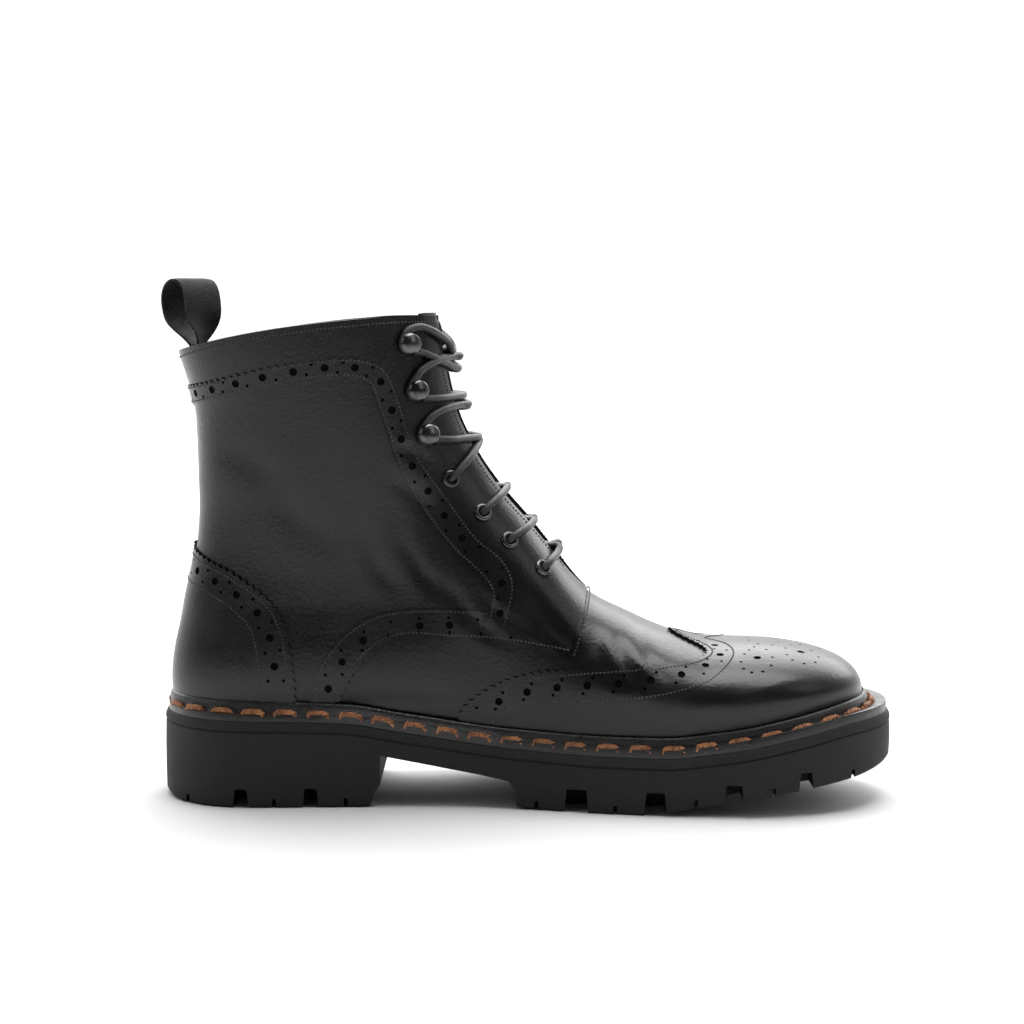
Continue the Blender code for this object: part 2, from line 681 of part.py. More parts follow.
def sole_stations():
    """Places along the sole, closer together at both round ends."""
    turns = pi * np.linspace(0.012, 0.988, SOLE_STATIONS + 1)
    return SOLE_LENGTH * 0.5 * (1.0 - np.cos(turns))


def make_insole(grid, parts):
    """Footbed that fills the upper's foot down to the sole."""
    ring = feather_ring(grid, UPPER_WALL + INSOLE_CLEARANCE)
    half = COLUMNS // 2
    medial = ring[: half + 1]
    lateral = np.concatenate([ring[:1], ring[:half - 1:-1]])
    rings = []
    for x in sole_stations():
        if not medial[0, 0] + SEAT < x < medial[-1, 0] - SEAT:
            continue
        near = float(np.interp(x, medial[:, 0], medial[:, 1]))
        far = float(np.interp(x, lateral[:, 0], lateral[:, 1]))
        low = float(sole_top(np.array([x]))[0]) + SEAT
        high = low + WELT_RISE + INSOLE_RISE
        rings.append([(x, near, low), (x, far, low), (x, far, high), (x, near, high)])
    return loft_rings("insole", rings, parts, FOOTBED)


def make_sole(parts, cutters):
    """Moulded rubber unit: side wall with a bevelled rim, heel, arch and lugs."""
    rings = []
    for x in sole_stations():
        place = np.array([x])
        low, high = (float(v[0]) for v in sole_half_widths(place))
        middle = 0.5 * (low + high)
        top = float(sole_top(place)[0])
        bottom = float(sole_bottom(place)[0])
        inward = min(SOLE_RIM_STEP, 0.3 * (high - low))
        rings.append([
            (x, low + inward, bottom), (x, high - inward, bottom), (x, high, 0.5 * (bottom + top)),
            (x, high, top - SOLE_RIM_HEIGHT), (x, high - inward, top), (x, middle, top),
            (x, low + inward, top), (x, low, top - SOLE_RIM_HEIGHT), (x, low, 0.5 * (bottom + top)),
        ])
    sole = loft_rings("outsole", rings, parts, RUBBER)
    arch_rings = []
    for y in (-SOLE_WIDTH, SOLE_WIDTH):
        arch_rings.append([(p.station * SOLE_LENGTH, y, p.rise * HEEL_THICKNESS) for p in ARCH])
    arch = loft_rings("cut_arch", arch_rings, cutters, RUBBER)
    arch.hide_render = True
    arch.display_type = "WIRE"
    apply_boolean(sole, arch, "DIFFERENCE")
    apply_boolean(sole, make_lug_cutter(cutters), "DIFFERENCE")
    return sole


def wedge(x, width, y_from, y_to, floor, depth, flare):
    """Corners of one notch, wider at the floor than at its top."""
    low = floor - 0.004
    top = floor + depth
    half = 0.5 * width
    wide = half + flare
    corners = []
    for y in (y_from, y_to):
        corners += [(x - wide, y, low), (x + wide, y, low), (x + half, y, top), (x - half, y, top)]
    return corners


def add_wedge(vertices, faces, corners):
    start = len(vertices)
    vertices.extend(corners)
    quads = [(0, 1, 2, 3), (7, 6, 5, 4), (0, 4, 5, 1), (1, 5, 6, 2), (2, 6, 7, 3), (3, 7, 4, 0)]
    faces.extend(tuple(start + v for v in quad) for quad in quads)


def make_lug_cutter(cutters):
    """All notches, slits and tread grooves of the sole as one cutter."""
    vertices = []
    faces = []
    rows = [(notch, LUG_NOTCH, LUG_DEPTH) for notch in FOREFOOT_NOTCHES]
    rows += [(notch, HEEL_NOTCH, HEEL_LUG_DEPTH) for notch in HEEL_NOTCHES]
    for notch, width, depth in rows:
        x = notch.station * SOLE_LENGTH
        floor = float(sole_bottom(np.array([x]))[0])
        low, high = (float(v[0]) for v in sole_half_widths(np.array([x])))
        size = width * notch.wide
        shallow = depth * (0.75 if notch.wide < 1.0 else 1.0)
        add_wedge(vertices, faces, wedge(x, size, low - 0.01, low + LUG_REACH, floor, shallow, 0.0012))
        add_wedge(vertices, faces, wedge(x, size, high - LUG_REACH, high + 0.01, floor, shallow, 0.0012))
        inner_low = low + LUG_REACH + TREAD_BRIDGE
        inner_high = high - LUG_REACH - TREAD_BRIDGE
        add_wedge(
            vertices, faces, wedge(x, TREAD_WIDTH, inner_low, inner_high, floor, TREAD_GROOVE, 0.1 * TREAD_WIDTH)
        )
    for station in FOREFOOT_SLITS + HEEL_SLITS:
        x = station * SOLE_LENGTH
        floor = float(sole_bottom(np.array([x]))[0])
        low, high = (float(v[0]) for v in sole_half_widths(np.array([x])))
        add_wedge(vertices, faces, wedge(x, SLIT_WIDTH, low - 0.01, low + SLIT_REACH, floor, SLIT_DEPTH, 0.0))
        add_wedge(vertices, faces, wedge(x, SLIT_WIDTH, high - SLIT_REACH, high + 0.01, floor, SLIT_DEPTH, 0.0))
    cutter = object_from("cut_lugs", vertices, faces, cutters, RUBBER)
    cutter.hide_render = True
    cutter.display_type = "WIRE"
    return cutter


def throat_strip(levels, angles, offset):
    """Points on the front of the upper, row by row, as on a fan from the middle sheet."""
    z = np.asarray(levels)
    ridge = np.stack([ridge_x(z), np.zeros(len(z)), z], axis=-1)
    origins = nearest_on_sheet(ridge)
    forward = unit(ridge - origins)
    turn = np.asarray(angles)
    directions = (
        forward[:, None] * np.cos(turn)[None, :, None]
        + np.array([0.0, 1.0, 0.0]) * np.sin(turn)[None, :, None]
    )
    starts = np.repeat(origins[:, None], len(turn), axis=1)
    points = push_out(starts, directions)
    return points + outward(points) * offset


def make_tongue(parts):
    """Curved leaf under the throat, from below its foot to above the collar."""
    levels = np.linspace(0.412, 1.012, 15) * SHAFT_HEIGHT
    angles = np.linspace(-0.62, 0.62, 11)
    outer = throat_strip(levels, angles, -(UPPER_WALL + TONGUE_CLEARANCE))
    inner = throat_strip(levels, angles, -(UPPER_WALL + TONGUE_CLEARANCE + TONGUE_THICKNESS))
    rings = []
    for row_out, row_in in zip(outer, inner):
        rings.append([tuple(p) for p in row_out] + [tuple(p) for p in row_in[::-1]])
    return loft_rings("tongue", rings, parts, LEATHER)


def lift_of_facing():
    return SEAT + QUARTER_LEATHER


def fastener_point(place, side):
    """Surface point of an eyelet or hook, set back from the ridge at its height."""
    level = place.level * SHAFT_HEIGHT
    return side_point(ridge_x(level) - place.setback * SHAFT_DEPTH, level, side)


def seat_on(panel, place, side):
    """Spot and direction on the outside of a panel, for a fastener seen from one side."""
    point = fastener_point(place, side)
    above = point[0] + outward(point)[0] * (lift_of_facing() + QUARTER_LEATHER)
    shape = panel.evaluated_get(bpy.context.evaluated_depsgraph_get())
    _, spot, facing, _ = shape.closest_point_on_mesh(Vector(above))
    return np.array(spot), np.array(facing)


def make_eyelets(quarters, parts):
    for side, name in ((-1.0, "medial"), (1.0, "lateral")):
        for number, place in enumerate(EYELETS, start=1):
            spot, facing = seat_on(quarters[name], place, side)
            bpy.ops.mesh.primitive_torus_add(
                major_segments=10, minor_segments=4,
                major_radius=0.5 * EYELET_OUTER - EYELET_WIRE, minor_radius=EYELET_WIRE,
            )
            centre = spot + facing * (2.0 * SEAT + EYELET_WIRE)
            adopt(f"eyelet_{name}_{number}", centre, facing, METAL, parts)


def adopt(name, centre, normal, spec, parts):
    """Take the new primitive as a part, standing on a surface point."""
    item = bpy.context.object
    for owner in list(item.users_collection):
        owner.objects.unlink(item)
    parts.objects.link(item)
    item.name = name
    item.location = Vector(centre)
    item.rotation_mode = "QUATERNION"
    item.rotation_quaternion = Vector(normal).to_track_quat("Z", "Y")
    item.data.materials.append(make_material(spec))
    item.data.shade_smooth()
    return item


def make_hooks(quarters, parts):
    """Speed hooks: a base, a neck and a domed cap, turned as one piece."""
    cap = 0.5 * HOOK_CAP
    height = HOOK_HEIGHT
    profile = [
        (0.0, height), (0.55 * cap, 0.92 * height), (0.92 * cap, 0.70 * height),
        (cap, 0.52 * height), (0.45 * cap, 0.44 * height), (0.38 * cap, 0.20 * height),
        (0.72 * cap, 0.12 * height), (0.72 * cap, 0.0), (0.0, 0.0),
    ]
    for side, name in ((-1.0, "medial"), (1.0, "lateral")):
        for number, place in enumerate(HOOKS, start=1):
            spot, facing = seat_on(quarters[name], place, side)
            work = bmesh.new()
            vertices = [work.verts.new((r, 0.0, z)) for r, z in profile]
            edges = [work.edges.new(pair) for pair in zip(vertices[:-1], vertices[1:])]
            bmesh.ops.spin(
                work, geom=vertices + edges, cent=(0, 0, 0), axis=(0, 0, 1),
                angle=2 * pi, steps=8, use_merge=True,
            )
            bmesh.ops.remove_doubles(work, verts=work.verts, dist=0.00001)
            bmesh.ops.recalc_face_normals(work, faces=work.faces)
            mesh = bpy.data.meshes.new(f"hook_{name}_{number}")
            work.to_mesh(mesh)
            work.free()
            item = bpy.data.objects.new(f"hook_{name}_{number}", mesh)
            bpy.context.scene.collection.objects.link(item)
            bpy.context.view_layer.objects.active = item
            adopt(item.name, spot + facing * 2.0 * SEAT, facing, METAL, parts)


def lace_route(first_side):
    """One lace end, crossing the throat upwards from the bar over the lowest eyelets."""
    resting = lift_of_facing() + 2.0 * EYELET_WIRE + 4.0 * SEAT + 0.5 * LACE_DIAMETER
    crossing = lift_of_facing() + 3.0 * SEAT + 0.5 * LACE_DIAMETER
    stops = []
    side = first_side
    for place in EYELETS + HOOKS:
        anchor = fastener_point(place, side)[0]
        if place in HOOKS:
            anchor = surface_from((anchor + np.array(HOOK_LACE_SIDE) * (HOOK_CAP + LACE_DIAMETER))[None])[0]
        stops.append(anchor)
        side = -side
    points = []
    for start, end in zip(stops[:-1], stops[1:]):
        level = 0.5 * (start[2] + end[2])
        ridge = np.array([float(ridge_x(level)[0]), 0.0, level])
        for from_point, to_point, shares in ((start, ridge, CROSSING_STEPS), (ridge, end, CROSSING_BACK)):
            for share in shares:
                place = surface_from((from_point + share * (to_point - from_point))[None])[0]
                near_middle = share if to_point is ridge else 1.0 - share
                lift = resting + (crossing - resting) * near_middle
                points.append(place + outward(place[None])[0] * lift)
    last = stops[-1]
    points.append(last + outward(last[None])[0] * resting)
    return points


def make_tube(name, points, parts, spec):
    curve = bpy.data.curves.new(name, "CURVE")
    curve.dimensions = "3D"
    curve.bevel_depth = 0.5 * LACE_DIAMETER
    curve.bevel_resolution = 1
    curve.use_fill_caps = True
    spline = curve.splines.new("POLY")
    spline.points.add(len(points) - 1)
    for target, point in zip(spline.points, points):
        target.co = (*point, 1.0)
    item = bpy.data.objects.new(name, curve)
    parts.objects.link(item)
    evaluated = item.evaluated_get(bpy.context.evaluated_depsgraph_get())
    mesh = bpy.data.meshes.new_from_object(evaluated)
    work = bmesh.new()
    work.from_mesh(mesh)
    bmesh.ops.remove_doubles(work, verts=work.verts, dist=0.00001)
    bmesh.ops.recalc_face_normals(work, faces=work.faces)
    work.to_mesh(mesh)
    work.free()
    mesh.materials.clear()
    mesh.materials.append(make_material(spec))
    solid = bpy.data.objects.new(name + "_solid", mesh)
    parts.objects.link(solid)
    bpy.data.objects.remove(item, do_unlink=True)
    return solid


def make_laces(parts, cutters):
    """Crossings of the lace, joined where they cross, and the bar at the lowest eyelets."""
    left = lace_route(-1.0)
    right = lace_route(1.0)
    first = make_tube("lace_up", left, parts, CORD)
    second = make_tube("lace_across", right, cutters, CORD)
    bar_points = []
    for share in (0.0, 0.2, 0.4, 0.6, 0.8, 1.0):
        place = surface_from((left[0] + share * (right[0] - left[0]) + np.array([0.004, 0.0, 0.0]))[None])[0]
        lift = max(np.dot(left[0] - surface_from(left[0][None])[0], outward(left[0][None])[0]), LACE_DIAMETER)
        bar_points.append(place + outward(place[None])[0] * lift)
    bar_points[0] = left[0]
    bar_points[-1] = right[0]
    bar = make_tube("lace_bar", bar_points, cutters, CORD)
    for cutter in (second, bar):
        cutter.hide_render = True
        cutter.display_type = "WIRE"
        apply_boolean(first, cutter, "UNION")
    first.name = "laces"
    return first


def make_pull_loop(parts):
    """Webbing folded into a loop, both ends inside the back of the collar, turned as it rises."""
    level = SHAFT_HEIGHT * TOP_EDGE[0].level
    half = 0.5 * LOOP_WIDTH
    turn = radians(LOOP_TURN)
    rings = []
    places = [(p.lean * LOOP_SPREAD, level + p.along * LOOP_RISE) for p in LOOP_PATH]
    for index, (lean, height) in enumerate(places):
        before = places[max(index - 1, 0)]
        after = places[min(index + 1, len(places) - 1)]
        along = np.array([after[0] - before[0], after[1] - before[1]])
        along = along / np.linalg.norm(along)
        across = np.array([along[1], -along[0]]) * 0.5 * LOOP_THICKNESS
        start = np.array([[0.20 * SOLE_LENGTH, half, min(height, level)]])
        wall = push_out(start, np.array([[-1.0, 0.0, 0.0]]))[0, 0]
        base = wall + 1.3 * UPPER_WALL + 0.5 * LOOP_THICKNESS + 2.5 * SEAT
        twist = turn * float(ease(np.array(height), level + 0.05 * LOOP_RISE, level + 0.6 * LOOP_RISE))
        ring = []
        for sign, edge in ((-1, -1), (1, -1), (1, 1), (-1, 1)):
            local_x = lean + sign * across[0]
            local_y = edge * half
            x = local_x * cos(twist) + local_y * sin(twist)
            y = -local_x * sin(twist) + local_y * cos(twist)
            ring.append((base + x, y, height + sign * across[1]))
        rings.append(ring)
    return loft_rings("pull_loop", rings, parts, WEBBING)


def main():
    clear_scene()
    parts = new_collection("brogue_ankle_boot")
    cutters = new_collection("cutters")
    grid = upper_grid()
    normals = outward(grid)
    normals[:, 0, 2] = 0.0
    normals[:, 0] = unit(normals[:, 0])
    shell_between("upper", grid, normals, 0.0, -UPPER_WALL, parts, LEATHER)
    make_sole(parts, cutters)
    make_welt(grid, parts)
    make_insole(grid, parts)
    make_tongue(parts)
    wide = SOLE_WIDTH
    low = SEAT
    high = SEAT + QUARTER_LEATHER
    quarters = {}
    for name, sides in (("medial", (-wide, -0.5 * SEAT)), ("lateral", (0.5 * SEAT, wide))):
        quarters[name] = make_overlay(
            "quarter_" + name, grid, normals, low, high, QUARTER_SEAM, sides, parts, cutters
        )
    make_overlay("wing_cap", grid, normals, SEAT, SEAT + CAP_LEATHER, CAP_SEAM, (-wide, wide), parts, cutters)
    over = high + SEAT
    make_overlay(
        "heel_counter", grid, normals, over, over + COUNTER_LEATHER, COUNTER_SEAM, (-wide, wide), parts, cutters
    )
    make_eyelets(quarters, parts)
    make_hooks(quarters, parts)
    make_laces(parts, cutters)
    make_pull_loop(parts)
    place_origin(parts)


def place_origin(parts):
    """Hang all parts on an empty that puts the origin under the middle of the boot."""
    bpy.context.view_layer.update()
    graph = bpy.context.evaluated_depsgraph_get()
    lows = np.full(3, 1e9)
    highs = np.full(3, -1e9)
    for item in parts.objects:
        shape = item.evaluated_get(graph)
        for corner in shape.bound_box:
            place = np.array(shape.matrix_world @ Vector(corner))
            lows = np.minimum(lows, place)
            highs = np.maximum(highs, place)
    hanger = bpy.data.objects.new("boot_origin", None)
    bpy.context.scene.collection.objects.link(hanger)
    hanger.location = (-0.5 * (lows[0] + highs[0]), -0.5 * (lows[1] + highs[1]), -lows[2])
    for collection in bpy.data.collections:
        for item in collection.objects:
            if item.parent is None and item is not hanger:
                item.parent = hanger


main()
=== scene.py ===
"""Black wingtip lace-up ankle boot: its leather, seams, punched holes, stitches, laces and studio.

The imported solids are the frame. The boot's own frame, in which the tables below are written, has
x from the back of the sole, z from the floor and the medial side towards -y; finished meshes are
moved by SHIFT onto the solids.
"""

from collections import namedtuple
from math import cos, pi, radians, sin

import bmesh
import bpy
import numpy as np
from mathutils import Matrix, Vector
from mathutils.kdtree import KDTree


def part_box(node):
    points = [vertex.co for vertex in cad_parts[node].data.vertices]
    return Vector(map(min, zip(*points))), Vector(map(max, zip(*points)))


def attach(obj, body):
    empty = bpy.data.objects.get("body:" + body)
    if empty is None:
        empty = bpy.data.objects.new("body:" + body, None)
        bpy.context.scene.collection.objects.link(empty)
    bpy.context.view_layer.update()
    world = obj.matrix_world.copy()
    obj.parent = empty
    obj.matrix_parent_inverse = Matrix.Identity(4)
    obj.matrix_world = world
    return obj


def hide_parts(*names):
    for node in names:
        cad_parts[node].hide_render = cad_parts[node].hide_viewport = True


bl_info = {
    "name": "Brogue ankle boot",
    "version": (1, 0, 0),
    "blender": (4, 5, 0),
    "location": "View3D > Sidebar > Boot",
    "description": "Builds the leather, seams, stitches, laces, sole and studio of a brogue ankle boot",
    "category": "Object",
}

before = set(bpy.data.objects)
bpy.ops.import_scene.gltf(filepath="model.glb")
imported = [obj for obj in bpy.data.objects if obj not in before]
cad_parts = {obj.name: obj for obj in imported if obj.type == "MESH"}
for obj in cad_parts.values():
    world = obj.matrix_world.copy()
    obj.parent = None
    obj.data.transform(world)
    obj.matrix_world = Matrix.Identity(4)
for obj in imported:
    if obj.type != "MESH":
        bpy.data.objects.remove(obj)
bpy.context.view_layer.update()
FASTENER_NODES = [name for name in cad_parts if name.startswith(("eyelet_", "hook_"))]

# Driving dimensions
SOLE_LENGTH = 0.306
SOLE_WIDTH = 0.111
HEEL_THICKNESS = 0.036
FOREFOOT_THICKNESS = 0.0232
UPPER_BACK = 0.0049
TOE_OVERHANG = 0.0130
UPPER_LENGTH = SOLE_LENGTH - UPPER_BACK - TOE_OVERHANG
BALL_WIDTH = 0.0985
TOE_HEIGHT = 0.063
SHAFT_HEIGHT = 0.200
SHAFT_DEPTH = 0.113
SHAFT_WIDTH = 0.082
WELT_RISE = 0.0075
WELT_SETBACK = 0.0016
UPPER_WALL = 0.0020
TONGUE_THICKNESS = 0.0020
TONGUE_CLEARANCE = 0.0009
INSOLE_RISE = 0.0030
INSOLE_CLEARANCE = 0.0012
THROAT_HALF_GAP = 0.0085
SEAT = 0.0003

LUG_DEPTH = 0.0095
LUG_NOTCH = 0.0070
LUG_REACH = 0.0170
SLIT_DEPTH = 0.0035
SLIT_WIDTH = 0.0016
SLIT_REACH = 0.0060
HEEL_LUG_DEPTH = 0.0076
HEEL_NOTCH = 0.0050
TREAD_GROOVE = 0.0040
TREAD_WIDTH = 0.0035
TREAD_BRIDGE = 0.0010

LACE_DIAMETER = 0.0030
EYELET_OUTER = 0.0076
HOOK_CAP = 0.0094
HOOK_HEIGHT = 0.0052
LOOP_WIDTH = 0.0190
LOOP_THICKNESS = 0.0014
LOOP_RISE = 0.0300
LOOP_SPREAD = 0.0090

SOLE_STATIONS = 40

# Shares of SOLE_LENGTH from which the feather line fans round the heel and the toe
HEEL_CENTRE = 0.14
TOE_CENTRE = 0.80

# Sole, shares of SOLE_LENGTH along, of SOLE_WIDTH across and of the two thicknesses upwards
SoleSection = namedtuple("SoleSection", "station medial lateral shift")
SOLE_OUTLINE = [
    SoleSection(0.00, 0.340, 0.340, 0.000),
    SoleSection(0.15, 0.345, 0.345, 0.000),
    SoleSection(0.30, 0.335, 0.350, 0.002),
    SoleSection(0.42, 0.345, 0.385, 0.006),
    SoleSection(0.52, 0.395, 0.435, 0.010),
    SoleSection(0.62, 0.465, 0.480, 0.012),
    SoleSection(0.70, 0.495, 0.505, 0.006),
    SoleSection(0.80, 0.495, 0.500, -0.018),
    SoleSection(0.90, 0.480, 0.480, -0.040),
    SoleSection(1.00, 0.460, 0.460, -0.062),
]
HEEL_ROUND = 0.125
TOE_ROUND = 0.235

SoleLevel = namedtuple("SoleLevel", "station top")
SOLE_TOP = [
    SoleLevel(0.00, 1.00),
    SoleLevel(0.13, 0.99),
    SoleLevel(0.25, 0.965),
    SoleLevel(0.34, 0.850),
    SoleLevel(0.48, 0.690),
    SoleLevel(0.60, 0.645),
    SoleLevel(0.68, 0.645),
    SoleLevel(0.76, 0.720),
    SoleLevel(0.86, 0.880),
    SoleLevel(0.94, 1.000),
    SoleLevel(1.00, 1.030),
]
# Share of the heel's thickness at the forefoot, and where the forefoot's own thickness comes and goes
FOREFOOT_SHARE = 0.6444
FOREFOOT_START = (0.34, 0.55)
FOREFOOT_END = (0.85, 1.0)

Underside = namedtuple("Underside", "station rise")
SOLE_BOTTOM = [
    Underside(0.000, 0.055),
    Underside(0.018, 0.012),
    Underside(0.045, 0.000),
    Underside(0.480, 0.030),
    Underside(0.540, 0.000),
    Underside(0.660, 0.000),
    Underside(0.730, 0.110),
    Underside(0.790, 0.190),
    Underside(0.870, 0.300),
    Underside(0.950, 0.400),
    Underside(1.000, 0.500),
]
ArchPoint = namedtuple("ArchPoint", "station rise")
ARCH = [
    ArchPoint(0.285, -0.20),
    ArchPoint(0.292, 0.12),
    ArchPoint(0.303, 0.26),
    ArchPoint(0.303, 0.60),
    ArchPoint(0.475, 0.325),
    ArchPoint(0.483, 0.24),
    ArchPoint(0.491, -0.20),
]
Notch = namedtuple("Notch", "station wide")
FOREFOOT_NOTCHES = [Notch(0.566, 1.15), Notch(0.670, 1.05), Notch(0.773, 0.90), Notch(0.869, 0.65)]
FOREFOOT_SLITS = [0.513, 0.617, 0.723, 0.825, 0.935]
HEEL_NOTCHES = [Notch(0.116, 1.0), Notch(0.210, 1.0)]
HEEL_SLITS = [0.041, 0.161, 0.257]

# Upper, foot part: shares of SOLE_LENGTH along, of TOE_HEIGHT up and of BALL_WIDTH across
FootSection = namedtuple("FootSection", "station ridge medial lateral shift")
FOOT_SECTIONS = [
    FootSection(0.20, 3.20, 0.345, 0.345, 0.000),
    FootSection(0.30, 2.90, 0.345, 0.360, 0.003),
    FootSection(0.40, 2.55, 0.350, 0.385, 0.008),
    FootSection(0.48, 2.00, 0.375, 0.415, 0.012),
    FootSection(0.535, 1.625, 0.410, 0.445, 0.014),
    FootSection(0.585, 1.345, 0.450, 0.470, 0.014),
    FootSection(0.64, 1.205, 0.485, 0.492, 0.012),
    FootSection(0.69, 1.095, 0.498, 0.502, 0.006),
    FootSection(0.75, 1.010, 0.498, 0.500, -0.006),
    FootSection(0.82, 1.003, 0.495, 0.495, -0.026),
    FootSection(0.90, 1.000, 0.480, 0.480, -0.046),
    FootSection(1.00, 1.000, 0.465, 0.465, -0.066),
]
UPPER_TOE_ROUND = 0.196
TOE_ROUND_POWER = 2.2
RIDGE_ROUND = 0.155
RIDGE_POWER = 2.5
FOOT_POWER = 2.15

# Upper, shaft part: shares of SHAFT_HEIGHT up, of SHAFT_DEPTH along and of SHAFT_WIDTH across
ShaftSection = namedtuple("ShaftSection", "level back front half")
SHAFT_SECTIONS = [
    ShaftSection(0.215, 0.050, 2.55, 0.390),
    ShaftSection(0.245, 0.046, 2.50, 0.408),
    ShaftSection(0.280, 0.050, 2.45, 0.412),
    ShaftSection(0.315, 0.060, 2.35, 0.408),
    ShaftSection(0.365, 0.080, 1.90, 0.395),
    ShaftSection(0.420, 0.098, 1.60, 0.382),
    ShaftSection(0.465, 0.116, 1.535, 0.380),
    ShaftSection(0.535, 0.138, 1.410, 0.388),
    ShaftSection(0.615, 0.148, 1.285, 0.405),
    ShaftSection(0.675, 0.146, 1.222, 0.422),
    ShaftSection(0.740, 0.143, 1.160, 0.440),
    ShaftSection(0.805, 0.138, 1.110, 0.458),
    ShaftSection(0.860, 0.118, 1.085, 0.472),
    ShaftSection(0.930, 0.080, 1.065, 0.488),
    ShaftSection(1.010, 0.040, 1.050, 0.500),
]
SHAFT_POWER = 2.15
BLEND_ALONG = (0.27, 0.45)
BLEND_UP = (0.50, 0.75)

# Middle sheet that the upper's points are pushed out from: shares of SOLE_LENGTH and SHAFT_HEIGHT
SheetPoint = namedtuple("SheetPoint", "station level")
MIDDLE_SHEET = [
    SheetPoint(0.130, 0.25), SheetPoint(0.815, 0.25), SheetPoint(0.660, 0.26),
    SheetPoint(0.490, 0.29), SheetPoint(0.395, 0.36), SheetPoint(0.335, 0.47),
    SheetPoint(0.300, 0.62), SheetPoint(0.280, 0.80), SheetPoint(0.275, 1.10),
    SheetPoint(0.165, 1.10), SheetPoint(0.165, 0.75), SheetPoint(0.150, 0.45),
]
REACH = 0.160

# Top edge of the upper: collar from the back to the throat, then down the throat;
# the collar's stations are shares of SHAFT_DEPTH
EdgePoint = namedtuple("EdgePoint", "share station level gap")
TOP_EDGE = [
    EdgePoint(0.00, 0.0663, 0.930, 0.0),
    EdgePoint(0.05, 0.1083, 0.940, 0.0),
    EdgePoint(0.10, 0.2004, 0.953, 0.0),
    EdgePoint(0.16, 0.3547, 0.972, 0.0),
    EdgePoint(0.23, 0.5362, 0.988, 0.0),
    EdgePoint(0.30, 0.7176, 0.999, 0.0),
    EdgePoint(0.37, 0.8936, 1.006, 0.0),
    EdgePoint(0.42, 0.9965, 1.004, 2.1),
    EdgePoint(0.45, 0.0, 0.980, 1.75),
    EdgePoint(0.52, 0.0, 0.890, 1.55),
    EdgePoint(0.60, 0.0, 0.795, 1.35),
    EdgePoint(0.70, 0.0, 0.685, 1.15),
    EdgePoint(0.80, 0.0, 0.585, 1.00),
    EdgePoint(0.90, 0.0, 0.505, 0.85),
    EdgePoint(0.96, 0.0, 0.462, 0.60),
    EdgePoint(1.00, 0.0, 0.445, 0.00),
]
COLLAR_END = 0.44

# Foot of each column on the feather line, share of the half outline against share of the top edge
FEATHER_PACE = [(0.0, 0.0), (0.12, 0.10), (0.30, 0.24), (0.45, 0.37), (0.70, 0.62), (0.88, 0.83), (1.0, 1.0)]

# Path of the pull loop from its rear end over the top: shares of LOOP_RISE up and LOOP_SPREAD forward
LoopPoint = namedtuple("LoopPoint", "along lean")
LOOP_PATH = [
    LoopPoint(-0.45, 0.00), LoopPoint(0.00, 0.00), LoopPoint(0.20, -0.25), LoopPoint(0.45, -0.85),
    LoopPoint(0.70, -1.10), LoopPoint(0.88, -0.98), LoopPoint(0.98, -0.62), LoopPoint(1.00, -0.20),
    LoopPoint(0.95, 0.22), LoopPoint(0.80, 0.50), LoopPoint(0.55, 0.60), LoopPoint(0.28, 0.48),
    LoopPoint(0.04, 0.26), LoopPoint(-0.45, 0.22),
]
LOOP_TURN = 42.0


# Visual net: columns right round the upper, rows up it, and the net of the cut leather panels
CHART_COLUMNS = 240
CHART_ROWS = 96
CHART_WIDE = 0.70
CHART_TALL = 0.15
NET_STEP = 0.0030

# Leather work
PINK_PITCH = 0.0034
PINK_DEPTH = 0.0013
HOLE_LARGE = 0.00160
HOLE_SMALL = 0.00070
HOLE_PITCH = 0.0132
LARGE_SIDES = 14
SMALL_SIDES = 8

# Share of a strip's width between its middle and each small hole of a pair, and the lowest place on
# the chart at which a hole is still punched
PAIR_SPREAD = 0.24
LOWEST_HOLE = 0.02

STITCH_PITCH = 0.0016
STITCH_GAP = 0.0004
STITCH_RADIUS = 0.00034
PANEL_SEAM_LIFT = 0.0014
TOP_SEAM_INSET = 0.0026

# Stretches of the top edge that carry a seam, as shares of the way from the back to the throat's foot
TOP_SEAMS = ((0.02, 0.40), (0.48, 0.93))
STRIP_LIFT = 0.0020
STRIP_THICKNESS = 0.0008
PANEL_LIFT = 0.0013
QUARTER_THICKNESS = 0.0016
CAP_THICKNESS = 0.0011
COUNTER_LIFT = 0.0024
COUNTER_THICKNESS = 0.0011
WELT_STITCH_PITCH = 0.0134
WELT_STITCH_LENGTH = 0.0080
WELT_STITCH_RADIUS = 0.00130

# Creases in millimetres seen from the side: a soft trough with a swell on both sides
Crease = namedtuple("Crease", "start end depth width bow least_side")
CREASES = [
    Crease((118, 98), (150, 66), 0.9, 3.4, 5.0, 8.0),
    Crease((128, 94), (158, 70), 0.7, 3.0, 3.0, 8.0),
    Crease((100, 118), (126, 84), 0.7, 3.6, 5.0, 8.0),
    Crease((86, 126), (104, 86), 0.6, 4.5, 6.0, 8.0),
    Crease((152, 92), (172, 66), 0.8, 2.8, 2.0, 6.0),
    Crease((160, 84), (178, 62), 0.6, 2.4, 2.0, 6.0),
    Crease((96, 150), (120, 132), 0.6, 3.4, -3.0, 8.0),
    Crease((92, 138), (116, 116), 0.6, 3.4, -3.0, 8.0),
    Crease((180, 76), (196, 48), 0.7, 3.4, 4.0, 0.0),
    Crease((190, 74), (206, 50), 0.9, 3.6, 5.0, 0.0),
    Crease((200, 72), (214, 52), 0.6, 3.0, 4.0, 0.0),
    Crease((24, 150), (60, 120), 0.6, 7.0, -5.0, 8.0),
    Crease((40, 128), (80, 100), 0.6, 7.0, -4.0, 8.0),
]

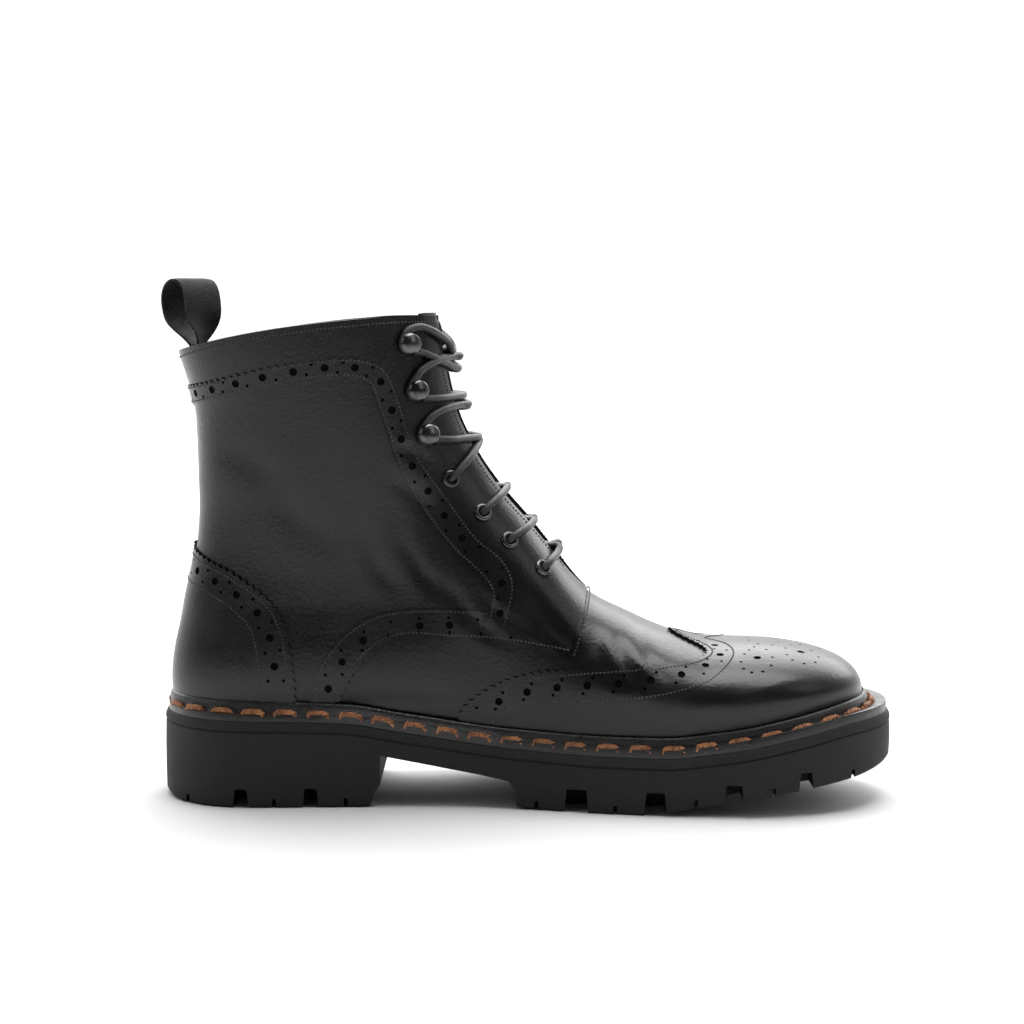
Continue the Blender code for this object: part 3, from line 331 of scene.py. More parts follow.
# Eyelets and hooks in millimetres seen from the side, from the lowest up
EYELET_PLACES = [(159.2, 96.8), (145.5, 108.5), (134.5, 120.0), (121.3, 134.3)]
HOOK_PLACES = [(111.5, 152.7), (107.0, 170.8), (103.9, 189.9)]

# Where each lace runs from its eyelet or hook, in millimetres from it: forward and up
EYELET_TIPS = [(7.4, 6.4), (9.4, 5.6), (8.6, 8.0), (10.4, 13.2)]
HOOK_LOW = [
    [(18.5, -3.6), (10, -2.8), (4.5, -2.2)],
    [(17.0, -3.6), (10, -3.6), (4.5, -3.4)],
    [(18.0, -11.0), (10.5, -6.8), (5, -3.8)],
]
HOOK_HIGH = [
    [(1.8, 8.0), (6.4, 10.2), (11.8, 10.9), (15.2, 10.2)],
    [(1.5, 8.6), (7, 12.0), (12.5, 13.0), (16.6, 13.0)],
    [(4, 6.7), (8.7, 4.6), (13.4, 0.4), (15.0, -3.5)],
]

# Seams in millimetres seen from the side
COUNTER_EDGE = [
    (8, 107), (17.3, 101.9), (23.9, 98.7), (30.2, 96.3), (36.5, 92.6), (46, 85.9), (51.4, 78.7),
    (54.3, 71), (56, 62), (57.1, 51.7), (57.6, 40),
]
COUNTER_INNER = [
    (7, 94), (15.1, 89.7), (22.6, 86.7), (30.2, 82.8), (35.9, 78.2), (40.2, 73.5), (42.1, 67.5),
    (43.2, 61.4), (43.8, 54.9), (44.4, 42),
]
COLLAR_UPPER = [
    (12, 172.6), (25.5, 175.7), (40.9, 179.6), (50.4, 181.7), (69, 184.5), (78.2, 184.9), (84.1, 184.9),
    (90.8, 183), (95.2, 180.3), (97.9, 175.8), (101.5, 165.6), (104.6, 155), (109.8, 142.6),
    (120.3, 127.2), (131.8, 111.6), (138.8, 105.6), (143.3, 101.6), (147.4, 94.5), (148.2, 88),
    (147, 82), (145, 74),
]
COLLAR_LOWER = [
    (12, 164), (25.5, 167.6), (37.1, 170.6), (50.2, 173.6), (65.7, 176.2), (78.1, 177), (84, 176.4),
    (88.4, 174.3), (90.3, 171), (92.9, 163), (95.8, 154.8), (101.2, 138.9), (112.6, 118.6),
    (123, 105.4), (130.6, 98.6), (136, 92.9), (138.6, 87.8), (138, 82), (136, 74),
]
ARCH_LOWER = [
    (74.4, 38), (75.9, 45.7), (78.9, 50.4), (80.8, 54.6), (84.7, 59.3), (88.4, 63.2), (92.9, 66.5),
    (97.8, 68.9), (104, 70), (110.5, 70), (121.2, 69.2), (137.6, 68.7), (148.2, 67.4), (160.9, 65.3),
    (170.2, 63.4),
]
ARCH_UPPER = [
    (63.8, 38), (64.4, 46.4), (65.7, 50.8), (67.4, 56.1), (70.3, 61.6), (74, 66.9), (78.9, 71.6),
    (85.6, 76.3), (92, 79.1), (100.2, 80.8), (107.2, 81.4), (120.4, 81.6), (137.5, 80.6),
]
THROAT_FOOT = [(170.2, 63.4), (173.6, 74.3), (175.6, 80.5), (177.4, 86.5)]
CAP_UPPER = [
    (124.6, 30), (125.6, 36.9), (128.1, 41.2), (133, 45.5), (138.8, 49.4), (146.6, 52.9), (154.8, 55.1),
    (164.7, 56.7), (184.6, 58.3), (196.9, 59), (208, 59.2),
]
CAP_HIGH = [
    (216.4, -37.4), (222, -33.6), (226.6, -28.6), (228.4, -23.6), (227.6, -18.4), (224, -12.6),
    (216.5, -5.6), (214, 0),
]
CAP_INNER = [
    (139.6, 31), (140.6, 38.4), (146.6, 41.4), (156.4, 43.6), (168.2, 45), (180.3, 45.8), (192.8, 46.9),
    (205, 48.4), (215.7, 50.3), (225.6, 52.8),
]
CAP_TURN = [(231, -41.4), (235.9, -34.6), (238.4, -27), (238.4, -19), (235.6, -10), (230.4, -3), (228.6, 0)]
MEDALLION_LARGE = [(247.8, -31), (266.9, -20)]
MEDALLION_SMALL = [
    (240.8, -34.5), (241.4, -39.6), (244.4, -42), (248.9, -41.6), (252.7, -37.4), (254, -30.2),
    (243, -27.2), (245.3, -22.3), (247.9, -17.9), (250.1, -12.5), (252.5, -21.3), (255.9, -13.4),
    (259.3, -5.5), (261, -17), (260.4, -26.4), (262, -31.5), (266.6, -33), (271.6, -29.6),
    (273.8, -22.6), (272, -14.2), (276.6, -5), (247, -4.5), (268.4, -5), (264, -9.5),
]


def smooth_curve(keys, values, at):
    """Smooth curve through the rows of a table, without overshoot between them."""
    keys = np.asarray(keys, dtype=float)
    values = np.asarray(values, dtype=float)
    at = np.clip(np.asarray(at, dtype=float), keys[0], keys[-1])
    steps = np.diff(keys)
    slopes = np.diff(values) / steps
    tangents = np.zeros_like(values)
    tangents[0] = slopes[0]
    tangents[-1] = slopes[-1]
    same_way = slopes[:-1] * slopes[1:] > 0.0
    product = np.where(same_way, slopes[:-1] * slopes[1:], 0.0)
    total = np.where(same_way, slopes[:-1] + slopes[1:], 1.0)
    tangents[1:-1] = 2.0 * product / total
    index = np.clip(np.searchsorted(keys, at) - 1, 0, len(steps) - 1)
    step = steps[index]
    t = (at - keys[index]) / step
    start = values[index] * (1 + 2 * t) * (1 - t) ** 2 + tangents[index] * step * t * (1 - t) ** 2
    end = values[index + 1] * t * t * (3 - 2 * t) + tangents[index + 1] * step * t * t * (t - 1)
    return start + end


def column(table, name, at, key=0):
    return smooth_curve([row[key] for row in table], [getattr(row, name) for row in table], at)


def ease(value, low, high):
    t = np.clip((value - low) / (high - low), 0.0, 1.0)
    return t * t * (3.0 - 2.0 * t)


def round_end(distance, reach, power):
    """Share of the width left at a distance into a rounded end."""
    t = np.clip(distance / reach, 0.0, 1.0)
    return (1.0 - t ** power) ** (1.0 / power)


def sole_top(x):
    """Height of the sole's top: the heel's thickness by the table, then the forefoot's own."""
    s = x / SOLE_LENGTH
    heel = HEEL_THICKNESS * column(SOLE_TOP, "top", s)
    thinner = FOREFOOT_THICKNESS - FOREFOOT_SHARE * HEEL_THICKNESS
    return heel + thinner * ease(s, *FOREFOOT_START) * (1.0 - ease(s, *FOREFOOT_END))


def sole_bottom(x):
    return HEEL_THICKNESS * column(SOLE_BOTTOM, "rise", x / SOLE_LENGTH)


def feather(x):
    """Height of the line where the upper meets the welt."""
    return sole_top(x) + WELT_RISE


def sole_half_widths(x):
    """Medial and lateral edge of the sole's outline."""
    s = x / SOLE_LENGTH
    heel = HEEL_ROUND * SOLE_LENGTH
    toe = TOE_ROUND * SOLE_LENGTH
    ends = round_end(heel - x, heel, 2.0) * round_end(x - (SOLE_LENGTH - toe), toe, 2.15)
    middle = SOLE_WIDTH * column(SOLE_OUTLINE, "shift", s)
    medial = SOLE_WIDTH * column(SOLE_OUTLINE, "medial", s) * ends
    lateral = SOLE_WIDTH * column(SOLE_OUTLINE, "lateral", s) * ends
    return middle - medial, middle + lateral


def foot_field(x, y, z):
    """Below zero inside the foot part of the upper."""
    s = x / SOLE_LENGTH
    front = UPPER_BACK + UPPER_LENGTH
    reach = UPPER_TOE_ROUND * SOLE_LENGTH
    ends = round_end(x - (front - reach), reach, TOE_ROUND_POWER)
    middle = BALL_WIDTH * column(FOOT_SECTIONS, "shift", s)
    medial = BALL_WIDTH * column(FOOT_SECTIONS, "medial", s)
    lateral = BALL_WIDTH * column(FOOT_SECTIONS, "lateral", s)
    half = np.where(y < middle, medial, lateral) * ends
    base = feather(x)
    ridge_reach = RIDGE_ROUND * SOLE_LENGTH
    crown = TOE_HEIGHT * column(FOOT_SECTIONS, "ridge", s) - base
    crown = np.maximum(crown * round_end(x - (front - ridge_reach), ridge_reach, RIDGE_POWER), 1e-6)
    belly = base + np.minimum(0.35 * crown, 0.015)
    below = np.clip((belly - z) / np.maximum(belly - base, 1e-6), 0.0, 1.0)
    half = np.maximum(half * (1.0 - 0.045 * below ** 2), 1e-6)
    across = np.abs(y - middle) / half
    up = np.maximum(z - belly, 0.0) / np.maximum(base + crown - belly, 1e-6)
    return (across ** FOOT_POWER + up ** FOOT_POWER) ** (1.0 / FOOT_POWER) - 1.0


def shaft_field(x, y, z):
    """Below zero inside the heel and shaft part of the upper."""
    level = z / SHAFT_HEIGHT
    back = SHAFT_DEPTH * column(SHAFT_SECTIONS, "back", level)
    front = SHAFT_DEPTH * column(SHAFT_SECTIONS, "front", level)
    half = SHAFT_WIDTH * column(SHAFT_SECTIONS, "half", level)
    middle = back + 0.46 * np.minimum(front - back, SHAFT_DEPTH)
    behind = (middle - x) / (middle - back)
    ahead = (x - middle) / (front - middle)
    along = np.where(x < middle, behind, ahead)
    across = np.abs(y) / half
    return (np.abs(along) ** SHAFT_POWER + across ** SHAFT_POWER) ** (1.0 / SHAFT_POWER) - 1.0


def upper_field(points):
    x, y, z = points[..., 0], points[..., 1], points[..., 2]
    foot = ease(x / SOLE_LENGTH, *BLEND_ALONG) * (1.0 - ease(z / SHAFT_HEIGHT, *BLEND_UP))
    foot_value = np.minimum(foot_field(x, y, z), 4.0)
    shaft_value = np.minimum(shaft_field(x, y, z), 4.0)
    return foot * foot_value + (1.0 - foot) * shaft_value


def nearest_on_sheet(points):
    """Nearest point of the flat middle sheet to each point, in the plane y = 0."""
    corners = np.array([(p.station * SOLE_LENGTH, p.level * SHAFT_HEIGHT) for p in MIDDLE_SHEET])
    flat = points[..., [0, 2]].reshape(-1, 2)
    best = np.full(len(flat), 1e9)
    nearest = flat.copy()
    inside = np.zeros(len(flat), dtype=bool)
    for start, end in zip(corners, np.roll(corners, -1, axis=0)):
        edge = end - start
        t = np.clip((flat - start) @ edge / (edge @ edge), 0.0, 1.0)
        foot = start + t[:, None] * edge
        gap = np.linalg.norm(flat - foot, axis=1)
        closer = gap < best
        best[closer] = gap[closer]
        nearest[closer] = foot[closer]
        spans = (start[1] > flat[:, 1]) != (end[1] > flat[:, 1])
        rise = edge[1] if abs(edge[1]) > 1e-9 else 1e-9
        crossing = start[0] + (flat[:, 1] - start[1]) * edge[0] / rise
        inside ^= spans & (flat[:, 0] < crossing)
    nearest[inside] = flat[inside]
    result = np.zeros((len(flat), 3))
    result[:, 0] = nearest[:, 0]
    result[:, 2] = nearest[:, 1]
    return result.reshape(points.shape)


def push_out(origins, directions):
    """Points where rays from inside the upper leave it."""
    low = np.zeros(origins.shape[:-1])
    high = np.full(origins.shape[:-1], REACH)
    for _ in range(44):
        middle = 0.5 * (low + high)
        outside = upper_field(origins + middle[..., None] * directions) > 0.0
        high = np.where(outside, middle, high)
        low = np.where(outside, low, middle)
    return origins + low[..., None] * directions


def unit(vectors):
    return vectors / np.maximum(np.linalg.norm(vectors, axis=-1, keepdims=True), 1e-12)


def outward(points):
    """Unit normals of the upper's outer surface."""
    step = 0.0004
    slope = np.zeros_like(points)
    for axis in range(3):
        shift = np.zeros(3)
        shift[axis] = step
        slope[..., axis] = upper_field(points + shift) - upper_field(points - shift)
    return unit(slope)


def surface_from(points):
    origins = nearest_on_sheet(points)
    return push_out(origins, unit(points - origins))


def ridge_x(z):
    """Front of the closed form at the middle, at a height above the vamp."""
    z = np.atleast_1d(np.asarray(z, dtype=float))
    origin = np.stack([np.full(z.shape, 0.20 * SOLE_LENGTH), np.zeros(z.shape), z], axis=-1)
    return push_out(origin, np.tile((1.0, 0.0, 0.0), (len(z), 1)))[:, 0]


def side_point(x, z, side):
    """Point of the upper's surface seen at x and z from one side."""
    x = np.atleast_1d(np.asarray(x, dtype=float))
    origin = np.stack([x, np.zeros(x.shape), np.atleast_1d(z) + np.zeros(x.shape)], axis=-1)
    return push_out(origin, np.tile((0.0, float(side), 0.0), (len(x), 1)))


def top_edge(share, side):
    """Point of the collar and throat edge, from the back seam to the foot of the throat."""
    level = SHAFT_HEIGHT * column(TOP_EDGE, "level", share)
    gap = THROAT_HALF_GAP * column(TOP_EDGE, "gap", share)
    collar = share < COLLAR_END
    x_collar = SHAFT_DEPTH * column(TOP_EDGE[:8], "station", np.minimum(share, 0.42))
    seen = side_point(x_collar, level, side)
    origin = np.stack([np.full(share.shape, 0.20 * SOLE_LENGTH), side * gap, level], axis=-1)
    throat = push_out(origin, np.tile((1.0, 0.0, 0.0), (len(share), 1)))
    mix = ease(share, 0.34, COLLAR_END)[:, None]
    guess = np.where(collar[:, None], (1.0 - mix) * seen + mix * throat, throat)
    at_back = share <= 1e-9
    guess[at_back] = push_out(
        np.array([[0.20 * SOLE_LENGTH, 0.0, level[0]]]), np.array([[-1.0, 0.0, 0.0]])
    )
    return surface_from(guess)


def feather_point(share, side):
    """Point of the feather line, from the heel to the toe, on one side."""
    angle = pi * share
    front = UPPER_BACK + UPPER_LENGTH
    x = UPPER_BACK + (front - UPPER_BACK) * 0.5 * (1.0 - np.cos(angle))
    z = feather(x)
    middle = np.clip(x, HEEL_CENTRE * SOLE_LENGTH, TOE_CENTRE * SOLE_LENGTH)
    origin = np.stack([middle, np.zeros(x.shape), z], axis=-1)
    behind = np.clip((middle - x) / (middle - UPPER_BACK + 1e-9), 0.0, 1.0)
    ahead = np.clip((x - middle) / (front - middle + 1e-9), 0.0, 1.0)
    lean = np.where(x < middle, -behind, ahead)
    turn = 0.5 * pi * lean
    direction = np.stack([np.sin(turn), side * np.cos(turn), np.zeros(x.shape)], axis=-1)
    points = push_out(origin, direction)
    points[:, 2] = feather(points[:, 0])
    return points


def sole_stations():
    """Places along the sole, closer together at both round ends."""
    turns = pi * np.linspace(0.012, 0.988, SOLE_STATIONS + 1)
    return SOLE_LENGTH * 0.5 * (1.0 - np.cos(turns))


def place_shift():
    """From the boot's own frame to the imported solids' frame, read off the outsole's box."""
    low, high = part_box("outsole")
    stations = sole_stations()
    edge = float(np.min(sole_half_widths(stations)[0]))
    return np.array([0.5 * (low[0] + high[0]) - 0.5 * SOLE_LENGTH, low[1] - edge, 0.0])


def crease_depth(points):
    """Height of the listed creases, in metres along the surface's normal."""
    height = np.zeros(points.shape[:-1])
    x = points[..., 0]
    z = points[..., 2]
    side = np.abs(points[..., 1])
    for crease in CREASES:
        start = np.array(crease.start) * 0.001
        end = np.array(crease.end) * 0.001
        line = end - start
        length = np.linalg.norm(line)
        along = ((x - start[0]) * line[0] + (z - start[1]) * line[1]) / length
        across = ((x - start[0]) * line[1] - (z - start[1]) * line[0]) / length
        bow = crease.bow * 0.001 * (1.0 - (2.0 * along / length - 1.0) ** 2)
        fade = ease(along, 0.0, 0.35 * length) * (1.0 - ease(along, 0.65 * length, length))
        fade = fade * ease(side, 0.001 * crease.least_side, 0.001 * crease.least_side + 0.008)
        profile = np.exp(-(((across - bow) / (0.001 * crease.width)) ** 2))
        beside = np.exp(-(((across - bow) / (0.0022 * crease.width)) ** 2))
        height = height - 0.001 * crease.depth * fade * (1.35 * profile - 0.5 * beside)
    return height


def settle(points, lift=0.0):
    """Nearby points brought onto the upper's surface and lifted off it along its normal."""
    settled = np.array(points, dtype=float)
    for _ in range(3):
        value = upper_field(settled)
        step = 0.0003
        slope = np.zeros_like(settled)
        for axis in range(3):
            shift = np.zeros(3)
            shift[axis] = step
            slope[..., axis] = (upper_field(settled + shift) - upper_field(settled - shift)) / (2.0 * step)
        size = np.maximum(np.sum(slope * slope, axis=-1), 1e-9)
        move = np.clip(value / size, -0.004, 0.004)
        settled = settled - move[..., None] * slope
    normals = outward(settled)
    height = np.asarray(lift) + crease_depth(settled)
    return settled + normals * height[..., None], normals


class Chart:
    """The upper's surface laid out flat: u runs right round from the back seam, v from the welt up."""

    def __init__(self):
        half = CHART_COLUMNS // 2
        shares = np.array([min(i, CHART_COLUMNS - i) / half for i in range(CHART_COLUMNS)])
        sides = np.where(np.arange(CHART_COLUMNS) <= half, -1.0, 1.0)
        pace = smooth_curve([p[1] for p in FEATHER_PACE], [p[0] for p in FEATHER_PACE], shares)
        low = self.edge(feather_point, pace, sides)
        high = self.edge(top_edge, shares, sides)
        samples = np.linspace(0.0, 1.0, CHART_ROWS + 1)
        chord = low[:, None] + samples[None, :, None] * (high - low)[:, None]
        dense = surface_from(chord)
        dense[:, 0] = low
        dense[:, -1] = high
        self.grid = np.zeros_like(dense)
        for index in range(CHART_COLUMNS):
            lengths = np.linalg.norm(np.diff(dense[index], axis=0), axis=1)
            travelled = np.concatenate([[0.0], np.cumsum(lengths)])
            wanted = np.linspace(0.0, travelled[-1], CHART_ROWS + 1)
            for axis in range(3):
                self.grid[index, :, axis] = np.interp(wanted, travelled, dense[index, :, axis])
        self.tree = KDTree(self.grid.shape[0] * self.grid.shape[1])
        for index, point in enumerate(self.grid.reshape(-1, 3)):
            self.tree.insert(point, index)
        self.tree.balance()

    @staticmethod
    def edge(function, shares, sides):
        points = np.zeros((len(shares), 3))
        for side in (-1.0, 1.0):
            chosen = sides == side
            points[chosen] = function(shares[chosen], side)
        return points

    def rough(self, uv):
        """Points between the chart's own rows and columns."""
        u = np.mod(uv[..., 0], 1.0) * CHART_COLUMNS
        v = np.clip(uv[..., 1], 0.0, 1.0) * CHART_ROWS
        i = np.floor(u).astype(int)
        k = np.minimum(np.floor(v).astype(int), CHART_ROWS - 1)
        a = (u - i)[..., None]
        b = (v - k)[..., None]
        i = i % CHART_COLUMNS
        j = (i + 1) % CHART_COLUMNS
        grid = self.grid
        low = grid[i, k] * (1 - a) + grid[j, k] * a
        high = grid[i, k + 1] * (1 - a) + grid[j, k + 1] * a
        return low * (1 - b) + high * b

    def locate(self, points, around=0.5):
        """Chart place of points on the surface, with u within half a turn of a value."""
        points = np.atleast_2d(points)
        uv = np.zeros((len(points), 2))
        for index, point in enumerate(points):
            _, found, _ = self.tree.find(point)
            uv[index] = (found // (CHART_ROWS + 1) / CHART_COLUMNS, found % (CHART_ROWS + 1) / CHART_ROWS)
        du = 0.5 / CHART_COLUMNS
        dv = 0.5 / CHART_ROWS
        for _ in range(4):
            here = self.rough(uv)
            inner = np.clip(uv[:, 1], dv, 1.0 - dv)
            along = (self.rough(uv + [du, 0.0]) - self.rough(uv - [du, 0.0])) / (2 * du)
            up_low = self.rough(np.stack([uv[:, 0], inner - dv], axis=-1))
            up_high = self.rough(np.stack([uv[:, 0], inner + dv], axis=-1))
            up = (up_high - up_low) / (2 * dv)
            miss = points - here
            aa = np.sum(along * along, axis=1)
            bb = np.sum(up * up, axis=1)
            ab = np.sum(along * up, axis=1)
            am = np.sum(along * miss, axis=1)
            bm = np.sum(up * miss, axis=1)
            scale = np.maximum(aa * bb - ab * ab, 1e-12)
            uv[:, 0] += np.clip((am * bb - bm * ab) / scale, -0.02, 0.02)
            uv[:, 1] += np.clip((bm * aa - am * ab) / scale, -0.04, 0.04)
            uv[:, 1] = np.clip(uv[:, 1], 0.0, 1.0)
        uv[:, 0] = around + np.mod(uv[:, 0] - around + 0.5, 1.0) - 0.5
        return uv


def curve_through(points, spacing):
    """Smooth line through a few given points, in even steps."""
    points = np.array(points, dtype=float)
    ends = np.concatenate([[2 * points[0] - points[1]], points, [2 * points[-1] - points[-2]]])
    dense = []
    for k in range(1, len(ends) - 2):
        a, b, c, d = ends[k - 1], ends[k], ends[k + 1], ends[k + 2]
        for t in np.linspace(0.0, 1.0, 24, endpoint=False):
            dense.append(0.5 * (2 * b + (c - a) * t + (2 * a - 5 * b + 4 * c - d) * t * t
                                + (3 * b - a - 3 * c + d) * t ** 3))
    dense.append(points[-1])
    return even_steps(np.array(dense), spacing)


def even_steps(points, spacing):
    """The same line in steps of nearly one length."""
    lengths = np.linalg.norm(np.diff(points, axis=0), axis=1)
    travelled = np.concatenate([[0.0], np.cumsum(lengths)])
    count = max(int(round(travelled[-1] / spacing)), 1)
    wanted = np.linspace(0.0, travelled[-1], count + 1)
    columns = [np.interp(wanted, travelled, values) for values in points.T]
    return np.stack(columns, axis=-1)


def seen_from_side(places, side):
    """Surface points seen at (x, z) in millimetres from one side; outside the outline they lie on it."""
    places = np.array(places, dtype=float) * 0.001
    x, z = places[:, 0], places[:, 1]
    middle = np.stack([x, np.zeros(len(x)), z], axis=-1)
    inside = upper_field(middle) < 0.0
    points = surface_from(middle + np.array([0.0, side * 1e-4, 0.0]))
    if inside.any():
        points[inside] = side_point(x[inside], z[inside], side)
    return points


def line_on_boot(places, side, spacing=0.001):
    """Even line on the surface through places given in millimetres, seen from one side."""
    seen = curve_through(places, spacing * 1000.0)
    return even_steps(seen_from_side(seen, side), spacing)


def beside_line(line, distance):
    """The same line moved to its left on the surface, by one distance or one for each point."""
    ahead = unit(np.gradient(line, axis=0))
    normals = outward(line)
    left = unit(np.cross(normals, ahead))
    moved = line + left * np.asarray(distance)[..., None] * np.ones((len(line), 1))
    return settle(moved)[0] - settle(moved)[1] * crease_depth(moved)[..., None]


def pinked(line, pitch, depth):
    """Zigzag edge along a line, its teeth towards the line's left."""
    corners = even_steps(line, 0.5 * pitch)
    out = np.where(np.arange(len(corners)) % 2 == 0, 0.0, depth)
    return beside_line(corners, out)


def mesh_object(name, work, material, smooth_angle=0.6):
    """Finish a bmesh as a smooth-shaded object standing at the origin, its place in the mesh."""
    bmesh.ops.transform(work, matrix=Matrix.Translation(Vector(SHIFT)), verts=work.verts)
    for face in work.faces:
        face.smooth = True
    for edge in work.edges:
        if len(edge.link_faces) == 2 and edge.calc_face_angle(0.0) > smooth_angle:
            edge.smooth = False
    mesh = bpy.data.meshes.new(name)
    work.to_mesh(mesh)
    work.free()
    mesh.materials.append(material)
    item = bpy.data.objects.new(name, mesh)
    bpy.context.scene.collection.objects.link(item)
    return item


def take_place(item, nodes):
    """Tie a finished piece to the boot's body and the solids it stands for."""
    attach(item, "root")
    if nodes:
        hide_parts(*nodes)


def net_of_rings(rings, closed_rings, closed_way, caps=False):
    """Mesh through rings of points of one length each, drawn out from the first ring."""
    work = bmesh.new()
    rows = [[work.verts.new(point) for point in ring] for ring in rings]
    pairs = list(zip(rows[:-1], rows[1:]))
    if closed_way:
        pairs.append((rows[-1], rows[0]))
    count = len(rows[0])
    for first, second in pairs:
        for k in range(count if closed_rings else count - 1):
            n = (k + 1) % count
            work.faces.new((first[k], first[n], second[n], second[k]))
    if caps:
        work.faces.new(rows[0][::-1])
        work.faces.new(rows[-1])
    bmesh.ops.recalc_face_normals(work, faces=work.faces)
    return work


def tube(points, radius, sides):
    """Round cord along a line; the radius may be one size or one for each point."""
    points = np.array(points)
    ahead = unit(np.gradient(points, axis=0))
    radius = np.ones(len(points)) * np.asarray(radius)
    across = unit(np.cross(ahead[0], np.array([0.31, 0.57, 0.76])))
    angles = 2 * pi * np.arange(sides) / sides
    rings = []
    for point, way, size in zip(points, ahead, radius):
        across = unit(across - way * np.dot(across, way))
        other = np.cross(way, across)
        rings.append(point + size * (np.cos(angles)[:, None] * across + np.sin(angles)[:, None] * other))
    return net_of_rings(rings, True, False, caps=True)


def join(works):
    """Several meshes as one."""
    whole = bmesh.new()
    for work in works:
        mesh = bpy.data.meshes.new("joined")
        work.to_mesh(mesh)
        work.free()
        whole.from_mesh(mesh)
        bpy.data.meshes.remove(mesh)
    return whole


def hole_loop(centre, radius, sides, around):
    """Chart loop of a round hole punched at a surface point."""
    normal = outward(centre[None])[0]
    across = unit(np.cross(normal, np.array([0.0, 0.0, 1.0])))
    other = np.cross(normal, across)
    angles = 2 * pi * np.arange(sides) / sides
    ring = centre + radius * (np.cos(angles)[:, None] * across + np.sin(angles)[:, None] * other)
    return CHART.locate(ring, around)


HOLE_SHADE_DISCS = []


def make_hole_shade_discs(material):
    """Dull dark discs sunk in the punched holes: painted shade that stands for the shadow inside them."""
    work = bmesh.new()
    for hole, lift in HOLE_SHADE_DISCS:
        loop = np.array(hole)
        rim, _ = settle(CHART.rough(loop), lift)
        middle = work.verts.new(rim.mean(axis=0))
        ring = [work.verts.new(point) for point in rim]
        for first, second in zip(ring, ring[1:] + ring[:1]):
            work.faces.new((middle, first, second))
    bmesh.ops.recalc_face_normals(work, faces=work.faces)
    return mesh_object("hole_shade_discs", work, material)


def cut_panel(outline, holes, lift, thickness):
    """Leather panel: outline and holes filled flat in the chart, netted fine and laid on the boot."""
    # Each hole gets a dark disc halfway down the panel's thickness, painted shade inside the hole
    HOLE_SHADE_DISCS.extend((hole, lift - 0.55 * thickness) for hole in holes)
    work = bmesh.new()
    for loop in [outline] + holes:
        ring = [work.verts.new((u * CHART_WIDE, v * CHART_TALL, 0.0)) for u, v in loop]
        for first, second in zip(ring, ring[1:] + ring[:1]):
            work.edges.new((first, second))
    bmesh.ops.remove_doubles(work, verts=work.verts, dist=0.00002)
    bmesh.ops.triangle_fill(work, use_beauty=True, use_dissolve=False, edges=work.edges, normal=(0, 0, 1))
    flat = np.array([vertex.co for vertex in work.verts])
    for axis in (0, 1):
        low, high = flat[:, axis].min(), flat[:, axis].max()
        normal = (1, 0, 0) if axis == 0 else (0, 1, 0)
        for place in np.arange(low + NET_STEP, high, NET_STEP):
            bmesh.ops.bisect_plane(
                work, geom=work.verts[:] + work.edges[:] + work.faces[:], dist=0.00001,
                plane_co=Vector(normal) * float(place), plane_no=normal,
            )
    bmesh.ops.join_triangles(
        work, faces=work.faces, cmp_seam=False, cmp_sharp=False, cmp_uvs=False, cmp_vcols=False,
        cmp_materials=False, angle_face_threshold=0.3, angle_shape_threshold=0.9,
    )
    flat = np.array([vertex.co for vertex in work.verts])
    uv = flat[:, :2] / np.array([CHART_WIDE, CHART_TALL])
    placed, normals = settle(CHART.rough(uv), lift)
    for vertex, point in zip(work.verts, placed):
        vertex.co = point
    work.normal_update()
    facing = sum(float(np.dot(vertex.normal, normals[i])) for i, vertex in enumerate(work.verts))
    if facing < 0:
        bmesh.ops.reverse_faces(work, faces=work.faces)
    bottom = [vertex.co.copy() - Vector(n) * thickness for vertex, n in zip(work.verts, normals)]
    edge_pairs = [
        (loop.vert.index, loop.link_loop_next.vert.index)
        for edge in work.edges if len(edge.link_faces) == 1 for loop in edge.link_loops
    ]
    under = [work.verts.new(place) for place in bottom]
    work.verts.ensure_lookup_table()
    for first, second in edge_pairs:
        work.faces.new((work.verts[second], work.verts[first], under[first], under[second]))
    for vertex in work.verts:
        if not vertex.link_faces:
            work.verts.remove(vertex)
    return work


def stitch_run(line, lift, pitch):
    """Small stitches along a line, each a flattened six-sided bead sunk into the leather."""
    radius = STITCH_RADIUS
    steps = even_steps(line, pitch)
    middle = 0.5 * (steps[:-1] + steps[1:])
    along = unit(steps[1:] - steps[:-1])
    places, normals = settle(middle, lift)
    works = []
    half = 0.5 * (pitch - STITCH_GAP)
    for centre, way, normal in zip(places, along, normals):
        way = unit(way - normal * np.dot(way, normal))
        across = np.cross(normal, way)
        rings = []
        for share, size in ((-1.0, 0.35), (-0.55, 1.0), (0.55, 1.0), (1.0, 0.35)):
            sunk = 0.9 * radius if abs(share) == 1.0 else 0.0
            angles = 2 * pi * np.arange(6) / 6
            round_about = np.cos(angles)[:, None] * across + 0.75 * np.sin(angles)[:, None] * normal
            rings.append(centre + way * half * share - normal * sunk + radius * size * round_about)
        works.append(rings)
    return works


def beads_mesh(runs):
    """All small stitches as one mesh."""
    work = bmesh.new()
    for rings in runs:
        rows = [[work.verts.new(point) for point in ring] for ring in rings]
        for first, second in zip(rows[:-1], rows[1:]):
            for k in range(6):
                n = (k + 1) % 6
                work.faces.new((first[k], first[n], second[n], second[k]))
        work.faces.new(rows[0][::-1])
        work.faces.new(rows[-1])
    bmesh.ops.recalc_face_normals(work, faces=work.faces)
    return work


def seen_from_above(places):
    """Surface points of the foot's top at (x, y) in millimetres."""
    places = np.array(places, dtype=float) * 0.001
    origin = np.stack([places[:, 0], places[:, 1], feather(places[:, 0]) + 0.004], axis=-1)
    return push_out(origin, np.tile((0.0, 0.0, 1.0), (len(places), 1)))


def mirrored(points, side):
    """Points given for the near side, or the same ones on the far side."""
    points = np.array(points, dtype=float)
    if side > 0:
        points[:, 1] = -points[:, 1]
    return points


